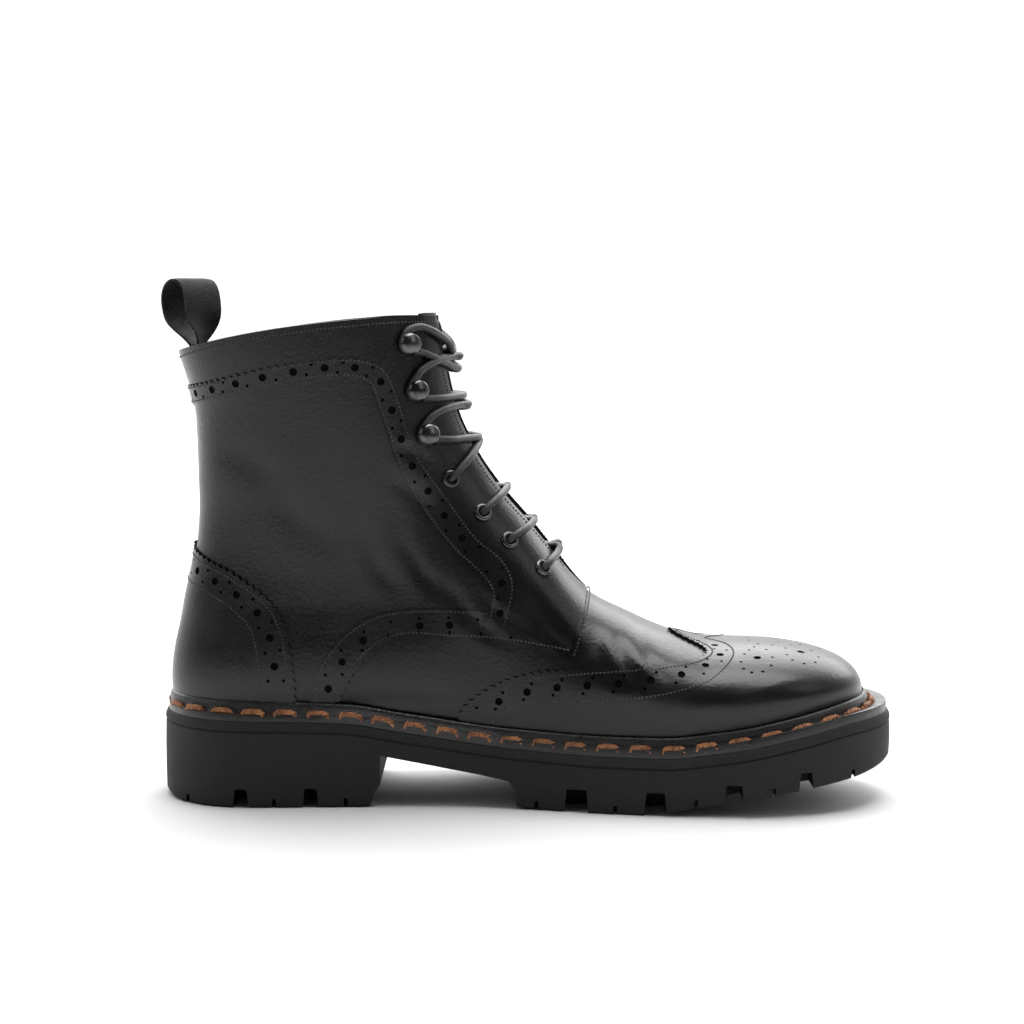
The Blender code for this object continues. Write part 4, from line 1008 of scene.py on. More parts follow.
def wing_line(low_places, high_places, side, spacing=0.001):
    """Line that runs up one side of the foot and on over its top to the ridge."""
    lower = seen_from_side(low_places, side)
    upper = seen_from_above(mirrored(high_places, side))
    return surface_from(curve_through(np.concatenate([lower, upper]), spacing))


def middle_of(side):
    """Chart u half-way along one side of the boot."""
    return 0.25 if side < 0 else 0.75


def throat_share(share, side):
    """Chart u on the top edge at a share of the way from the back seam to the throat's foot."""
    return 0.5 * share if side < 0 else 1.0 - 0.5 * share


def brogue_holes(outer, inner, around, large):
    """Large holes along the middle of a strip, with a pair of small ones between each two."""
    count = max(int(round(np.sum(np.linalg.norm(np.diff(outer, axis=0), axis=1)) / HOLE_PITCH)), 2)
    outer = even_steps(outer, 0.0005)
    inner = even_steps(inner, 0.0005)
    places = []
    for index in range(count):
        places.append((index + 0.5, 0.5, large, LARGE_SIDES))
        if index + 1 < count:
            places.append((index + 1.0, 0.5 - PAIR_SPREAD, HOLE_SMALL, SMALL_SIDES))
            places.append((index + 1.0, 0.5 + PAIR_SPREAD, HOLE_SMALL, SMALL_SIDES))
    holes = []
    for part_way, share, radius, sides in places:
        at = part_way / count
        first = outer[int(at * (len(outer) - 1))]
        second = inner[int(at * (len(inner) - 1))]
        spot = first + share * (second - first)
        loop = hole_loop(surface_from(spot[None])[0], radius, sides, around)
        if loop[:, 1].min() > LOWEST_HOLE:
            holes.append(loop)
    return holes


def chart_path(line, around):
    """Chart places of a line's points, as a list."""
    return [tuple(place) for place in CHART.locate(line, around)]


def quarter_outline(side):
    """Back seam, sole edge, arch seam, front edge and the whole throat and collar edge."""
    around = middle_of(side)
    arch = line_on_boot(ARCH_LOWER, side)
    teeth = pinked(arch, PINK_PITCH, -PINK_DEPTH * side)
    front = line_on_boot(THROAT_FOOT, side, 0.002)
    seam = 0.0 if side < 0 else 1.0
    path = [(seam, 0.0)] + chart_path(teeth, around) + chart_path(front, around)[1:]
    foot = throat_share(0.965, side)
    path.append((foot, 1.0))
    steps = np.linspace(foot, seam, 60)
    path += [(float(u), 1.0) for u in steps[1:]]
    path += [(seam, float(v)) for v in np.linspace(1.0, 0.0, 30)[1:-1]]
    return path


def strip_outline(outer, inner, around, side):
    """Closed chart loop between two lines, the first with a pinked edge."""
    teeth = pinked(outer, PINK_PITCH, PINK_DEPTH * side)
    return chart_path(teeth, around) + chart_path(inner, around)[::-1]


def make_upper_skin(material):
    """The lasted upper under the panels, with its lining, one closed skin."""
    shift = crease_depth(CHART.grid)
    normals = outward(CHART.grid)
    outer = CHART.grid + normals * shift[..., None]
    inner = CHART.grid - normals * UPPER_WALL
    rings = [np.concatenate([outer[i], inner[i][::-1]]) for i in range(CHART_COLUMNS)]
    work = net_of_rings(rings, True, True)
    return mesh_object("upper_skin", work, material)


def make_quarter(side, name, material):
    """Quarter with its pinked lower edge, from the back seam to the throat."""
    outline = quarter_outline(side)
    return mesh_object(name, cut_panel(outline, [], PANEL_LIFT, QUARTER_THICKNESS), material)


def make_wing_cap(material, large):
    """Wing-shaped toe cap with its pinked edge, punched rows and medallion."""
    medallion = ((MEDALLION_LARGE, large, LARGE_SIDES), (MEDALLION_SMALL, HOLE_SMALL, SMALL_SIDES))
    edges = []
    holes = []
    for side in (-1.0, 1.0):
        outer = wing_line(CAP_UPPER, CAP_HIGH, side)
        inner = wing_line(CAP_INNER, CAP_TURN, side)
        edges.append(pinked(outer, PINK_PITCH, -PINK_DEPTH * side))
        holes += brogue_holes(outer, inner, 0.5, large)
        for places, radius, sides in medallion:
            for spot in seen_from_above(mirrored(places, side)):
                holes.append(hole_loop(surface_from(spot[None])[0], radius, sides, 0.5))
    near = chart_path(edges[0], 0.5)
    far = chart_path(edges[1], 0.5)[::-1]
    outline = near + far[1:]
    holes = clear_of_each_other(holes, outline)
    work = cut_panel(outline, holes, PANEL_LIFT, CAP_THICKNESS)
    return mesh_object("wing_cap_leather", work, material)


def clear_of_each_other(holes, outline):
    """Holes that overlap neither the outline nor a hole that is kept already."""
    kept = []
    taken = []
    size = np.array([CHART_WIDE, CHART_TALL])
    edge = np.array(outline) * size
    for hole in holes:
        middle = hole.mean(axis=0) * size
        reach = np.max(np.linalg.norm(hole * size - middle, axis=1))
        if np.min(np.linalg.norm(edge - middle, axis=1)) < reach + 0.0003:
            continue
        gaps = [np.linalg.norm(middle - other) - reach - far for other, far in taken]
        if gaps and min(gaps) < 0.0003:
            continue
        kept.append([tuple(place) for place in hole])
        taken.append((middle, reach))
    return kept


def make_counter(material, large):
    """Heel counter round the back, with its pinked edge and punched row."""
    paths = []
    holes = []
    for side in (-1.0, 1.0):
        outer = line_on_boot(COUNTER_EDGE, side)
        inner = line_on_boot(COUNTER_INNER, side)
        paths.append(chart_path(pinked(outer, PINK_PITCH, -PINK_DEPTH * side), 0.0))
        holes += brogue_holes(outer, inner, 0.0, large)
    outline = paths[0][::-1] + paths[1]
    holes = clear_of_each_other(holes, outline)
    work = cut_panel(outline, holes, COUNTER_LIFT, COUNTER_THICKNESS)
    return mesh_object("counter_leather", work, material)


def make_strips(material, large):
    """Punched strips along the collar and facing and along the quarter's lower edge."""
    works = []
    for side in (-1.0, 1.0):
        around = middle_of(side)
        collar = (line_on_boot(COLLAR_UPPER, side), line_on_boot(COLLAR_LOWER, side))
        arch = (line_on_boot(ARCH_LOWER, side)[6:-3], line_on_boot(ARCH_UPPER, side)[6:])
        for outer, inner in (collar, arch):
            outline = strip_outline(outer, even_steps(inner, 0.0012), around, side)
            holes = clear_of_each_other(brogue_holes(outer, inner, around, large), outline)
            works.append(cut_panel(outline, holes, STRIP_LIFT, STRIP_THICKNESS))
    return mesh_object("brogue_strips", join(works), material)


def make_stitches(material, pitch):
    """All fine seams: a row inside each edge and along the collar's top."""
    runs = []
    rows = (
        (COUNTER_EDGE, -0.0016, 0.0025), (COUNTER_INNER, 0.0, 0.0025), (COLLAR_UPPER, -0.0014, 0.0021),
        (COLLAR_LOWER, 0.0010, 0.0021), (ARCH_LOWER, 0.0018, 0.0021), (ARCH_UPPER, -0.0010, 0.0021),
        (THROAT_FOOT, -0.0022, PANEL_SEAM_LIFT),
    )
    for side in (-1.0, 1.0):
        for places, inset, lift in rows:
            line = line_on_boot(places, side)
            runs += stitch_run(beside_line(line, -inset * side), lift, pitch)
        for low, high, inset in ((CAP_UPPER, CAP_HIGH, -0.0016), (CAP_INNER, CAP_TURN, 0.0)):
            line = beside_line(wing_line(low, high, side), -inset * side)
            runs += stitch_run(line, PANEL_SEAM_LIFT, pitch)
        for first, last in TOP_SEAMS:
            u = throat_share(np.linspace(first, last, 200), side)
            top = CHART.rough(np.stack([u, np.full(200, 1.0)], axis=-1))
            runs += stitch_run(beside_line(top, TOP_SEAM_INSET * side), PANEL_SEAM_LIFT, pitch)
    return mesh_object("seam_stitches", beads_mesh(runs), material)


def throat_strip(levels, angles, offset):
    """Points on the front of the upper, row by row, as on a fan from the middle sheet."""
    z = np.asarray(levels)
    ridge = np.stack([ridge_x(z), np.zeros(len(z)), z], axis=-1)
    origins = nearest_on_sheet(ridge)
    forward = unit(ridge - origins)
    turn = np.asarray(angles)
    directions = (
        forward[:, None] * np.cos(turn)[None, :, None]
        + np.array([0.0, 1.0, 0.0]) * np.sin(turn)[None, :, None]
    )
    starts = np.repeat(origins[:, None], len(turn), axis=1)
    points = push_out(starts, directions)
    return points + outward(points) * offset


def make_tongue(material):
    """Soft leather leaf under the laces, its top a little above the collar."""
    levels = np.linspace(0.412, 1.012, 60) * SHAFT_HEIGHT
    angles = np.linspace(-0.62, 0.62, 34)
    folds = 0.0004 * np.sin(levels * 520.0)[:, None, None]
    outer = throat_strip(levels, angles, -(UPPER_WALL + TONGUE_CLEARANCE) + folds - 0.0003)
    inner = throat_strip(levels, angles, -(UPPER_WALL + TONGUE_CLEARANCE + TONGUE_THICKNESS))
    rings = [np.concatenate([row_out, row_in[::-1]]) for row_out, row_in in zip(outer, inner)]
    return mesh_object("tongue_leather", net_of_rings(rings, True, False, caps=True), material)


def fastener_frame(place, side):
    """Spot on the surface and its outward normal at an eyelet or hook."""
    spot = surface_from(side_point(0.001 * place[0], 0.001 * place[1], side))
    return spot[0], outward(spot)[0]


def turned(profile, spot, normal, steps):
    """A profile of (radius, height) spun round a surface normal."""
    work = bmesh.new()
    vertices = [work.verts.new((radius, 0.0, height)) for radius, height in profile]
    edges = [work.edges.new(pair) for pair in zip(vertices[:-1], vertices[1:])]
    bmesh.ops.spin(
        work, geom=vertices + edges, cent=(0, 0, 0), axis=(0, 0, 1), angle=2 * pi, steps=steps,
        use_merge=True,
    )
    bmesh.ops.remove_doubles(work, verts=work.verts, dist=0.000005)
    bmesh.ops.recalc_face_normals(work, faces=work.faces)
    turn = Vector(normal).to_track_quat("Z", "Y").to_matrix().to_4x4()
    bmesh.ops.transform(work, matrix=Matrix.Translation(Vector(spot)) @ turn, verts=work.verts)
    return work


def make_eyelets(material):
    """Rolled metal rings, with the dark hole in the middle."""
    outer = 0.5 * EYELET_OUTER
    inner = 0.5 * EYELET_OUTER - 0.00205
    profile = [(outer, 0.0)]
    for angle in np.linspace(0.0, pi, 9):
        middle = 0.5 * (outer + inner)
        profile.append((middle + 0.5 * (outer - inner) * cos(angle), 0.00035 + 0.0009 * sin(angle)))
    profile += [(inner, -0.0012), (0.0002, -0.0013)]
    works = []
    for side in (-1.0, 1.0):
        for place in EYELET_PLACES:
            spot, normal = fastener_frame(place, side)
            works.append(turned(profile, spot + normal * 0.0013, normal, 28))
    return mesh_object("eyelet_rings", join(works), material)


def make_hooks(material):
    """Speed hooks: a riveted foot, a neck and a domed cap with a pressed ring."""
    cap = 0.5 * HOOK_CAP
    height = HOOK_HEIGHT
    profile = [
        (0.0, height), (0.30 * cap, 0.985 * height), (0.52 * cap, 0.94 * height),
        (0.60 * cap, 0.90 * height), (0.66 * cap, 0.90 * height), (0.80 * cap, 0.83 * height),
        (0.93 * cap, 0.70 * height), (cap, 0.56 * height), (0.97 * cap, 0.49 * height),
        (0.90 * cap, 0.47 * height), (0.45 * cap, 0.44 * height), (0.38 * cap, 0.20 * height),
        (0.70 * cap, 0.13 * height), (0.76 * cap, 0.0),
    ]
    works = []
    for side in (-1.0, 1.0):
        for place in HOOK_PLACES:
            spot, normal = fastener_frame(place, side)
            works.append(turned(profile, spot + normal * 0.0013, normal, 32))
    return mesh_object("speed_hooks", join(works), material)


def lace_spot(place, offset, side, lift):
    """Point of the lace, given from the side by its fastener and an offset in millimetres."""
    x, z = place[0] + offset[0], place[1] + offset[1]
    edge = float(ridge_x(0.001 * z)[0]) * 1000.0
    over = max(x - edge, 0.0)
    point = seen_from_side([(min(x, edge - 0.4), z)], side)
    return point[0] + outward(point)[0] * lift + np.array([0.0006 * over, 0.0, 0.0])


def tuck_in(path, z, side):
    """Lead a lace end over the ridge and down between the facings."""
    ridge = np.array([float(ridge_x(z)[0]), 0.0, z])
    path.append(ridge + np.array([0.0006, side * 0.0030, 0.0004]))
    path.append(ridge + np.array([-0.0020, -side * 0.0030, 0.0006]))
    path.append(ridge + np.array([-0.0060, -side * 0.0050, 0.0]))


def lace_paths():
    """Each visible run of the lace: out of an eyelet, or round a hook's neck, and over the ridge."""
    paths = []
    for side in (-1.0, 1.0):
        for place, tip in zip(EYELET_PLACES, EYELET_TIPS):
            spot, normal = fastener_frame(place, side)
            path = [spot - normal * 0.0014, spot + normal * 0.0016]
            path.append(lace_spot(place, (0.22 * tip[0], 0.24 * tip[1]), side, 0.0034))
            path.append(lace_spot(place, (0.62 * tip[0], 0.62 * tip[1]), side, 0.0033))
            path.append(lace_spot(place, tip, side, 0.0024))
            tuck_in(path, 0.001 * (place[1] + tip[1] + 0.8), side)
            paths.append(path)
        for place, low, high in zip(HOOK_PLACES, HOOK_LOW, HOOK_HIGH):
            start = []
            tuck_in(start, 0.001 * (place[1] + low[0][1]), side)
            path = start[::-1]
            path += [lace_spot(place, offset, side, 0.0030) for offset in low]
            for offset in ((0.6, -3.0), (-2.0, -2.2), (-2.9, 0.2), (-2.0, 3.0), (-0.4, 5.6)):
                path.append(lace_spot(place, offset, side, 0.0029))
            path += [lace_spot(place, offset, side, 0.0032) for offset in high]
            tuck_in(path, 0.001 * (place[1] + high[-1][1]), side)
            paths.append(path)
    return paths


def make_laces(material, width):
    """Round braided cord laced tight through eyelets and hooks."""
    works = []
    for path in lace_paths():
        works.append(tube(curve_through(path, 0.0008), 0.53 * width, 12))
    return mesh_object("round_laces", join(works), material)


def make_pull_loop(material):
    """Webbing folded over into a loop, turned as it rises; both ends go down inside the collar."""
    level = SHAFT_HEIGHT * TOP_EDGE[0].level
    half = 0.5 * LOOP_WIDTH
    turn = radians(LOOP_TURN)
    path = curve_through([(p.lean * LOOP_SPREAD, level + p.along * LOOP_RISE) for p in LOOP_PATH], 0.0012)
    rings = []
    for index, (lean, height) in enumerate(path):
        before = path[max(index - 1, 0)]
        after = path[min(index + 1, len(path) - 1)]
        along = unit(after - before)
        across = np.array([along[1], -along[0]]) * 0.5 * LOOP_THICKNESS
        start = np.array([[0.20 * SOLE_LENGTH, half, min(height, level)]])
        wall = push_out(start, np.array([[-1.0, 0.0, 0.0]]))[0, 0]
        base = wall + 1.3 * UPPER_WALL + 0.5 * LOOP_THICKNESS + 2.5 * SEAT
        twist = turn * float(ease(np.array(height), level + 0.05 * LOOP_RISE, level + 0.6 * LOOP_RISE))
        ring = []
        steps = np.linspace(-1, 1, 9)
        for sign, edge in [(-1, edge) for edge in steps] + [(1, -edge) for edge in steps]:
            thin = sign * (1.0 - 0.35 * abs(edge) ** 8)
            local_x = lean + thin * across[0]
            local_y = edge * half
            x = local_x * cos(twist) + local_y * sin(twist)
            y = -local_x * sin(twist) + local_y * cos(twist)
            ring.append((base + x, y, height + thin * across[1]))
        rings.append(ring)
    return mesh_object("pull_loop_webbing", net_of_rings(rings, True, False, caps=True), material)


def plan_normals(points):
    """Outward directions of a closed loop seen from above."""
    ahead = np.roll(points, -1, axis=0) - np.roll(points, 1, axis=0)
    ahead[:, 2] = 0.0
    out = unit(np.stack([-ahead[:, 1], ahead[:, 0], np.zeros(len(points))], axis=-1))
    away = points - points.mean(axis=0)
    return out * np.sign(np.sum(out * away))


def reach_of_sole(points, directions):
    """Distance from points to the sole's outline along level directions."""
    low = np.zeros(len(points))
    high = np.full(len(points), 0.030)
    for _ in range(24):
        middle = 0.5 * (low + high)
        place = points + directions * middle[:, None]
        near, far = sole_half_widths(np.clip(place[:, 0], 0.0, SOLE_LENGTH))
        inside = (place[:, 0] > 0.0) & (place[:, 0] < SOLE_LENGTH)
        inside = inside & (place[:, 1] > near) & (place[:, 1] < far)
        low = np.where(inside, middle, low)
        high = np.where(inside, high, middle)
    return low


def welt_frame(count):
    """Even points round the feather line, their level outward directions and their reach outwards."""
    ring = np.concatenate([CHART.grid[:, 0], CHART.grid[:1, 0]])
    ring = even_steps(ring, np.sum(np.linalg.norm(np.diff(ring, axis=0), axis=1)) / count)[:-1]
    directions = plan_normals(ring)
    for _ in range(6):
        directions = unit(directions + np.roll(directions, 1, axis=0) + np.roll(directions, -1, axis=0))
    reach = reach_of_sole(ring, directions)
    for _ in range(6):
        reach = (reach + np.roll(reach, 1) + np.roll(reach, -1)) / 3.0
    return ring, directions, reach


def make_welt(material):
    """Storm welt: upright ridge against the upper, stitch groove and flat edge."""
    ring, directions, reach = welt_frame(600)
    base = sole_top(ring[:, 0])
    rise = np.maximum(ring[:, 2] - base, 0.004) + 0.0006
    edge = reach - WELT_SETBACK
    thin = 1.0 - 0.25 * ease(-ring[:, 0], -0.105, -0.085)
    rows = (
        (0.0005, 0.30, 0.0), (0.0012, 0.98, 0.0), (0.0020, 1.0, 0.0), (0.0028, 0.97, 0.0),
        (0.0033, 0.88, 0.0), (0.0036, 0.72, 0.0), (0.0038, 0.0, 0.0040), (0.0044, 0.0, 0.0031),
        (0.0052, 0.0, 0.0028), (0.0060, 0.0, 0.0031), (0.0067, 0.0, 0.0038),
    )
    rings = []
    for out, share, fixed in rows:
        place = ring + directions * np.minimum(out, edge - 0.0004)[:, None]
        place[:, 2] = sole_top(place[:, 0]) + np.where(share > 0, rise * share, fixed * thin)
        rings.append(place)
    for out, height in ((0.0008, 0.0042), (0.0002, 0.0040), (0.0, 0.0034), (0.0, 0.0002)):
        place = ring + directions * np.maximum(edge - out, 0.0040)[:, None]
        place[:, 2] = sole_top(place[:, 0]) + height * thin
        rings.append(place)
    place = ring + directions * 0.0005
    place[:, 2] = sole_top(place[:, 0]) + 0.0002
    rings.append(place)
    return mesh_object("storm_welt", net_of_rings(rings, True, True), material, 0.9)


def make_welt_thread(material):
    """Thick twisted tan stitches lying in the welt's groove."""
    ring, directions, reach = welt_frame(600)
    groove = np.clip(reach - WELT_SETBACK - 0.0012, 0.0030, 0.0052)
    line = ring + directions * groove[:, None]
    line[:, 2] = sole_top(line[:, 0]) + 0.0030
    closed = even_steps(np.concatenate([line, line[:1]]), 0.0004)
    total = len(closed) * 0.0004
    count = int(total / WELT_STITCH_PITCH)
    works = []
    for number in range(count):
        start = number * WELT_STITCH_PITCH
        shares = np.linspace(-0.12, 1.12, 15)
        at = ((start + shares * WELT_STITCH_LENGTH) / 0.0004).astype(int) % len(closed)
        points = closed[at].copy()
        points[:, 2] += 0.0010 * (1.0 - np.clip(np.abs(2.0 * shares - 1.0), 0.0, 1.24) ** 6)
        size = WELT_STITCH_RADIUS * np.where(np.abs(2.0 * shares - 1.0) > 1.1, 0.55, 1.0)
        for strand in range(3):
            turn = 2.0 * pi * (shares * 1.6 + strand / 3.0)
            ahead = unit(np.gradient(points, axis=0))
            flat = unit(np.cross(ahead, np.array([0.0, 0.0, 1.0])))
            up = np.cross(flat, ahead)
            offset = 0.48 * size[:, None] * (np.cos(turn)[:, None] * flat + np.sin(turn)[:, None] * up)
            works.append(tube(points + offset, 0.60 * size, 6))
    return mesh_object("welt_thread", join(works), material)


def sole_loop(count):
    """Even points round the sole's outline."""
    turns = np.linspace(0.0, 1.0, count)
    x = SOLE_LENGTH * 0.5 * (1.0 - np.cos(pi * turns))
    near, far = sole_half_widths(x)
    medial = np.stack([x, near, np.zeros(count)], axis=-1)
    lateral = np.stack([x, far, np.zeros(count)], axis=-1)[::-1]
    ring = np.concatenate([medial, lateral[1:]])
    return even_steps(ring, np.sum(np.linalg.norm(np.diff(ring, axis=0), axis=1)) / (2 * count))[:-1]


def make_outsole(material):
    """Moulded rubber unit with a bevelled rim, heel, arch, lugs and slits."""
    ring = sole_loop(260)
    out = plan_normals(ring)
    x = np.clip(ring[:, 0], 0.0, SOLE_LENGTH)
    top = sole_top(x)
    bottom = sole_bottom(x)
    rows = (
        (0.0060, 1.0, -0.0006), (0.0016, 1.0, 0.0), (0.0009, 1.0, -0.0003), (0.0001, 1.0, -0.0020),
        (0.0, 1.0, -0.0030), (0.0006, 1.0, -0.0034), (0.0007, 1.0, -0.0040), (0.0002, 1.0, -0.0046),
        (0.0, 0.6, 0.0), (0.0, 0.3, 0.0), (0.0002, 0.0, 0.0012), (0.0010, 0.0, 0.0),
    )
    rings = []
    for inward, share, rise in rows:
        place = ring - out * inward
        place[:, 2] = bottom + share * (top - bottom) + rise
        rings.append(place)
    work = net_of_rings(rings, True, False, caps=False)
    work.verts.ensure_lookup_table()
    count = len(ring)
    work.faces.new([work.verts[i] for i in range(count)])
    work.faces.new([work.verts[len(rows) * count - count + i] for i in range(count)][::-1])
    bmesh.ops.recalc_face_normals(work, faces=work.faces)
    bmesh.ops.triangulate(work, faces=[face for face in work.faces if len(face.verts) > 4])
    body = mesh_object("lug_sole", work, material, 0.5)
    arch_rings = [
        [(p.station * SOLE_LENGTH, y, p.rise * HEEL_THICKNESS) for p in ARCH]
        for y in (-SOLE_WIDTH, SOLE_WIDTH)
    ]
    cutters = [mesh_object("cut_arch", net_of_rings(arch_rings, True, False, caps=True), material)]
    cutters.append(mesh_object("cut_lugs", lug_cutter(), material))
    for cutter in cutters:
        modifier = body.modifiers.new("cut", "BOOLEAN")
        modifier.operation = "DIFFERENCE"
        modifier.solver = "EXACT"
        modifier.object = cutter
    bpy.context.view_layer.update()
    shape = body.evaluated_get(bpy.context.evaluated_depsgraph_get())
    mesh = bpy.data.meshes.new_from_object(shape)
    work = bmesh.new()
    work.from_mesh(mesh)
    bmesh.ops.remove_doubles(work, verts=work.verts, dist=0.00001)
    bmesh.ops.transform(work, matrix=Matrix.Translation(-Vector(SHIFT)), verts=work.verts)
    for item in [body] + cutters:
        bpy.data.objects.remove(item, do_unlink=True)
    return mesh_object("lug_sole", work, material, 0.5)


def wedge_block(work, x, width, y_from, y_to, floor, depth, flare):
    """One notch: wider at the floor than at its top."""
    wide = 0.5 * width + flare
    half = 0.5 * width
    rings = []
    for y in (y_from, y_to):
        corners = (
            (x - wide, floor - 0.004), (x + wide, floor - 0.004), (x + half, floor + depth),
            (x - half, floor + depth),
        )
        rings.append([work.verts.new((cx, y, cz)) for cx, cz in corners])
    near, far = rings
    for k in range(4):
        n = (k + 1) % 4
        work.faces.new((near[k], near[n], far[n], far[k]))
    work.faces.new(near[::-1])
    work.faces.new(far)


def lug_cutter():
    """All notches, slits and tread grooves of the sole."""
    work = bmesh.new()
    rows = [(notch, LUG_NOTCH, LUG_DEPTH) for notch in FOREFOOT_NOTCHES]
    rows += [(notch, HEEL_NOTCH, HEEL_LUG_DEPTH) for notch in HEEL_NOTCHES]
    for notch, width, depth in rows:
        x = notch.station * SOLE_LENGTH
        floor = float(sole_bottom(np.array([x]))[0])
        low, high = (float(v[0]) for v in sole_half_widths(np.array([x])))
        size = width * notch.wide
        shallow = depth * (0.75 if notch.wide < 1.0 else 1.0)
        wedge_block(work, x, size, low - 0.01, low + LUG_REACH, floor, shallow, 0.0012)
        wedge_block(work, x, size, high - LUG_REACH, high + 0.01, floor, shallow, 0.0012)
        inner_low = low + LUG_REACH + TREAD_BRIDGE
        inner_high = high - LUG_REACH - TREAD_BRIDGE
        wedge_block(work, x, TREAD_WIDTH, inner_low, inner_high, floor, TREAD_GROOVE, 0.1 * TREAD_WIDTH)
    for station in FOREFOOT_SLITS + HEEL_SLITS:
        x = station * SOLE_LENGTH
        floor = float(sole_bottom(np.array([x]))[0])
        low, high = (float(v[0]) for v in sole_half_widths(np.array([x])))
        wedge_block(work, x, SLIT_WIDTH, low - 0.01, low + SLIT_REACH, floor, SLIT_DEPTH, 0.0)
        wedge_block(work, x, SLIT_WIDTH, high - SLIT_REACH, high + 0.01, floor, SLIT_DEPTH, 0.0)
    bmesh.ops.recalc_face_normals(work, faces=work.faces)
    return work


def node_maker(material):
    """Empty node tree of a material, and a function that adds a node with its values."""
    tree = material.node_tree
    tree.nodes.clear()

    def make(kind, **values):
        node = tree.nodes.new(kind)
        for name, value in values.items():
            if name in node.inputs:
                node.inputs[name].default_value = value
            else:
                setattr(node, name, value)
        return node

    return tree, make


def surface_material(name, look):
    """Procedural finish: broad and fine colour mottling, uneven gloss, pebble and pore bump, coat."""
    material = bpy.data.materials.new(name)
    material.use_nodes = True
    tree, make = node_maker(material)
    link = tree.links.new
    place = make("ShaderNodeTexCoord")
    broad = make("ShaderNodeTexNoise", Scale=look.broad, Detail=4.0, Roughness=0.6)
    fine = make("ShaderNodeTexNoise", Scale=look.fine, Detail=6.0, Roughness=0.7)
    cells = make("ShaderNodeTexVoronoi", Scale=look.fine * 1.6)
    for texture in (broad, fine, cells):
        link(place.outputs["Object"], texture.inputs["Vector"])
    colour = make("ShaderNodeValToRGB")
    colour.color_ramp.elements[0].position = 0.35
    colour.color_ramp.elements[0].color = (*look.dark, 1.0)
    colour.color_ramp.elements[1].position = 0.68
    colour.color_ramp.elements[1].color = (*look.light, 1.0)
    link(broad.outputs["Fac"], colour.inputs["Fac"])
    dust = make("ShaderNodeValToRGB")
    dust.color_ramp.elements[0].position = 0.62
    dust.color_ramp.elements[0].color = (0, 0, 0, 1)
    dust.color_ramp.elements[1].position = 0.74
    dust.color_ramp.elements[1].color = (look.dust, look.dust, look.dust, 1)
    link(fine.outputs["Fac"], dust.inputs["Fac"])
    blend = make("ShaderNodeMix", data_type="RGBA")
    link(dust.outputs["Color"], blend.inputs["Factor"])
    link(colour.outputs["Color"], blend.inputs[6])
    blend.inputs[7].default_value = (*look.dust_colour, 1.0)
    gloss = make("ShaderNodeMapRange")
    gloss.inputs["From Min"].default_value = 0.3
    gloss.inputs["From Max"].default_value = 0.7
    gloss.inputs["To Min"].default_value = look.rough - look.spread
    gloss.inputs["To Max"].default_value = look.rough + look.spread
    link(broad.outputs["Fac"], gloss.inputs["Value"])
    coarse = make("ShaderNodeBump", Strength=look.pebble)
    coarse.inputs["Distance"].default_value = 0.0004
    link(cells.outputs["Distance"], coarse.inputs["Height"])
    bump = make("ShaderNodeBump", Strength=look.grain)
    bump.inputs["Distance"].default_value = 0.0003
    link(fine.outputs["Fac"], bump.inputs["Height"])
    link(coarse.outputs["Normal"], bump.inputs["Normal"])
    shader = make("ShaderNodeBsdfPrincipled", Metallic=look.metal)
    shader.inputs["Coat Weight"].default_value = look.coat
    shader.inputs["Coat Roughness"].default_value = look.coat_rough
    shader.inputs["Specular IOR Level"].default_value = look.specular
    link(blend.outputs[2], shader.inputs["Base Color"])
    link(gloss.outputs["Result"], shader.inputs["Roughness"])
    link(bump.outputs["Normal"], shader.inputs["Normal"])
    out = make("ShaderNodeOutputMaterial")
    link(shader.outputs["BSDF"], out.inputs["Surface"])
    return material


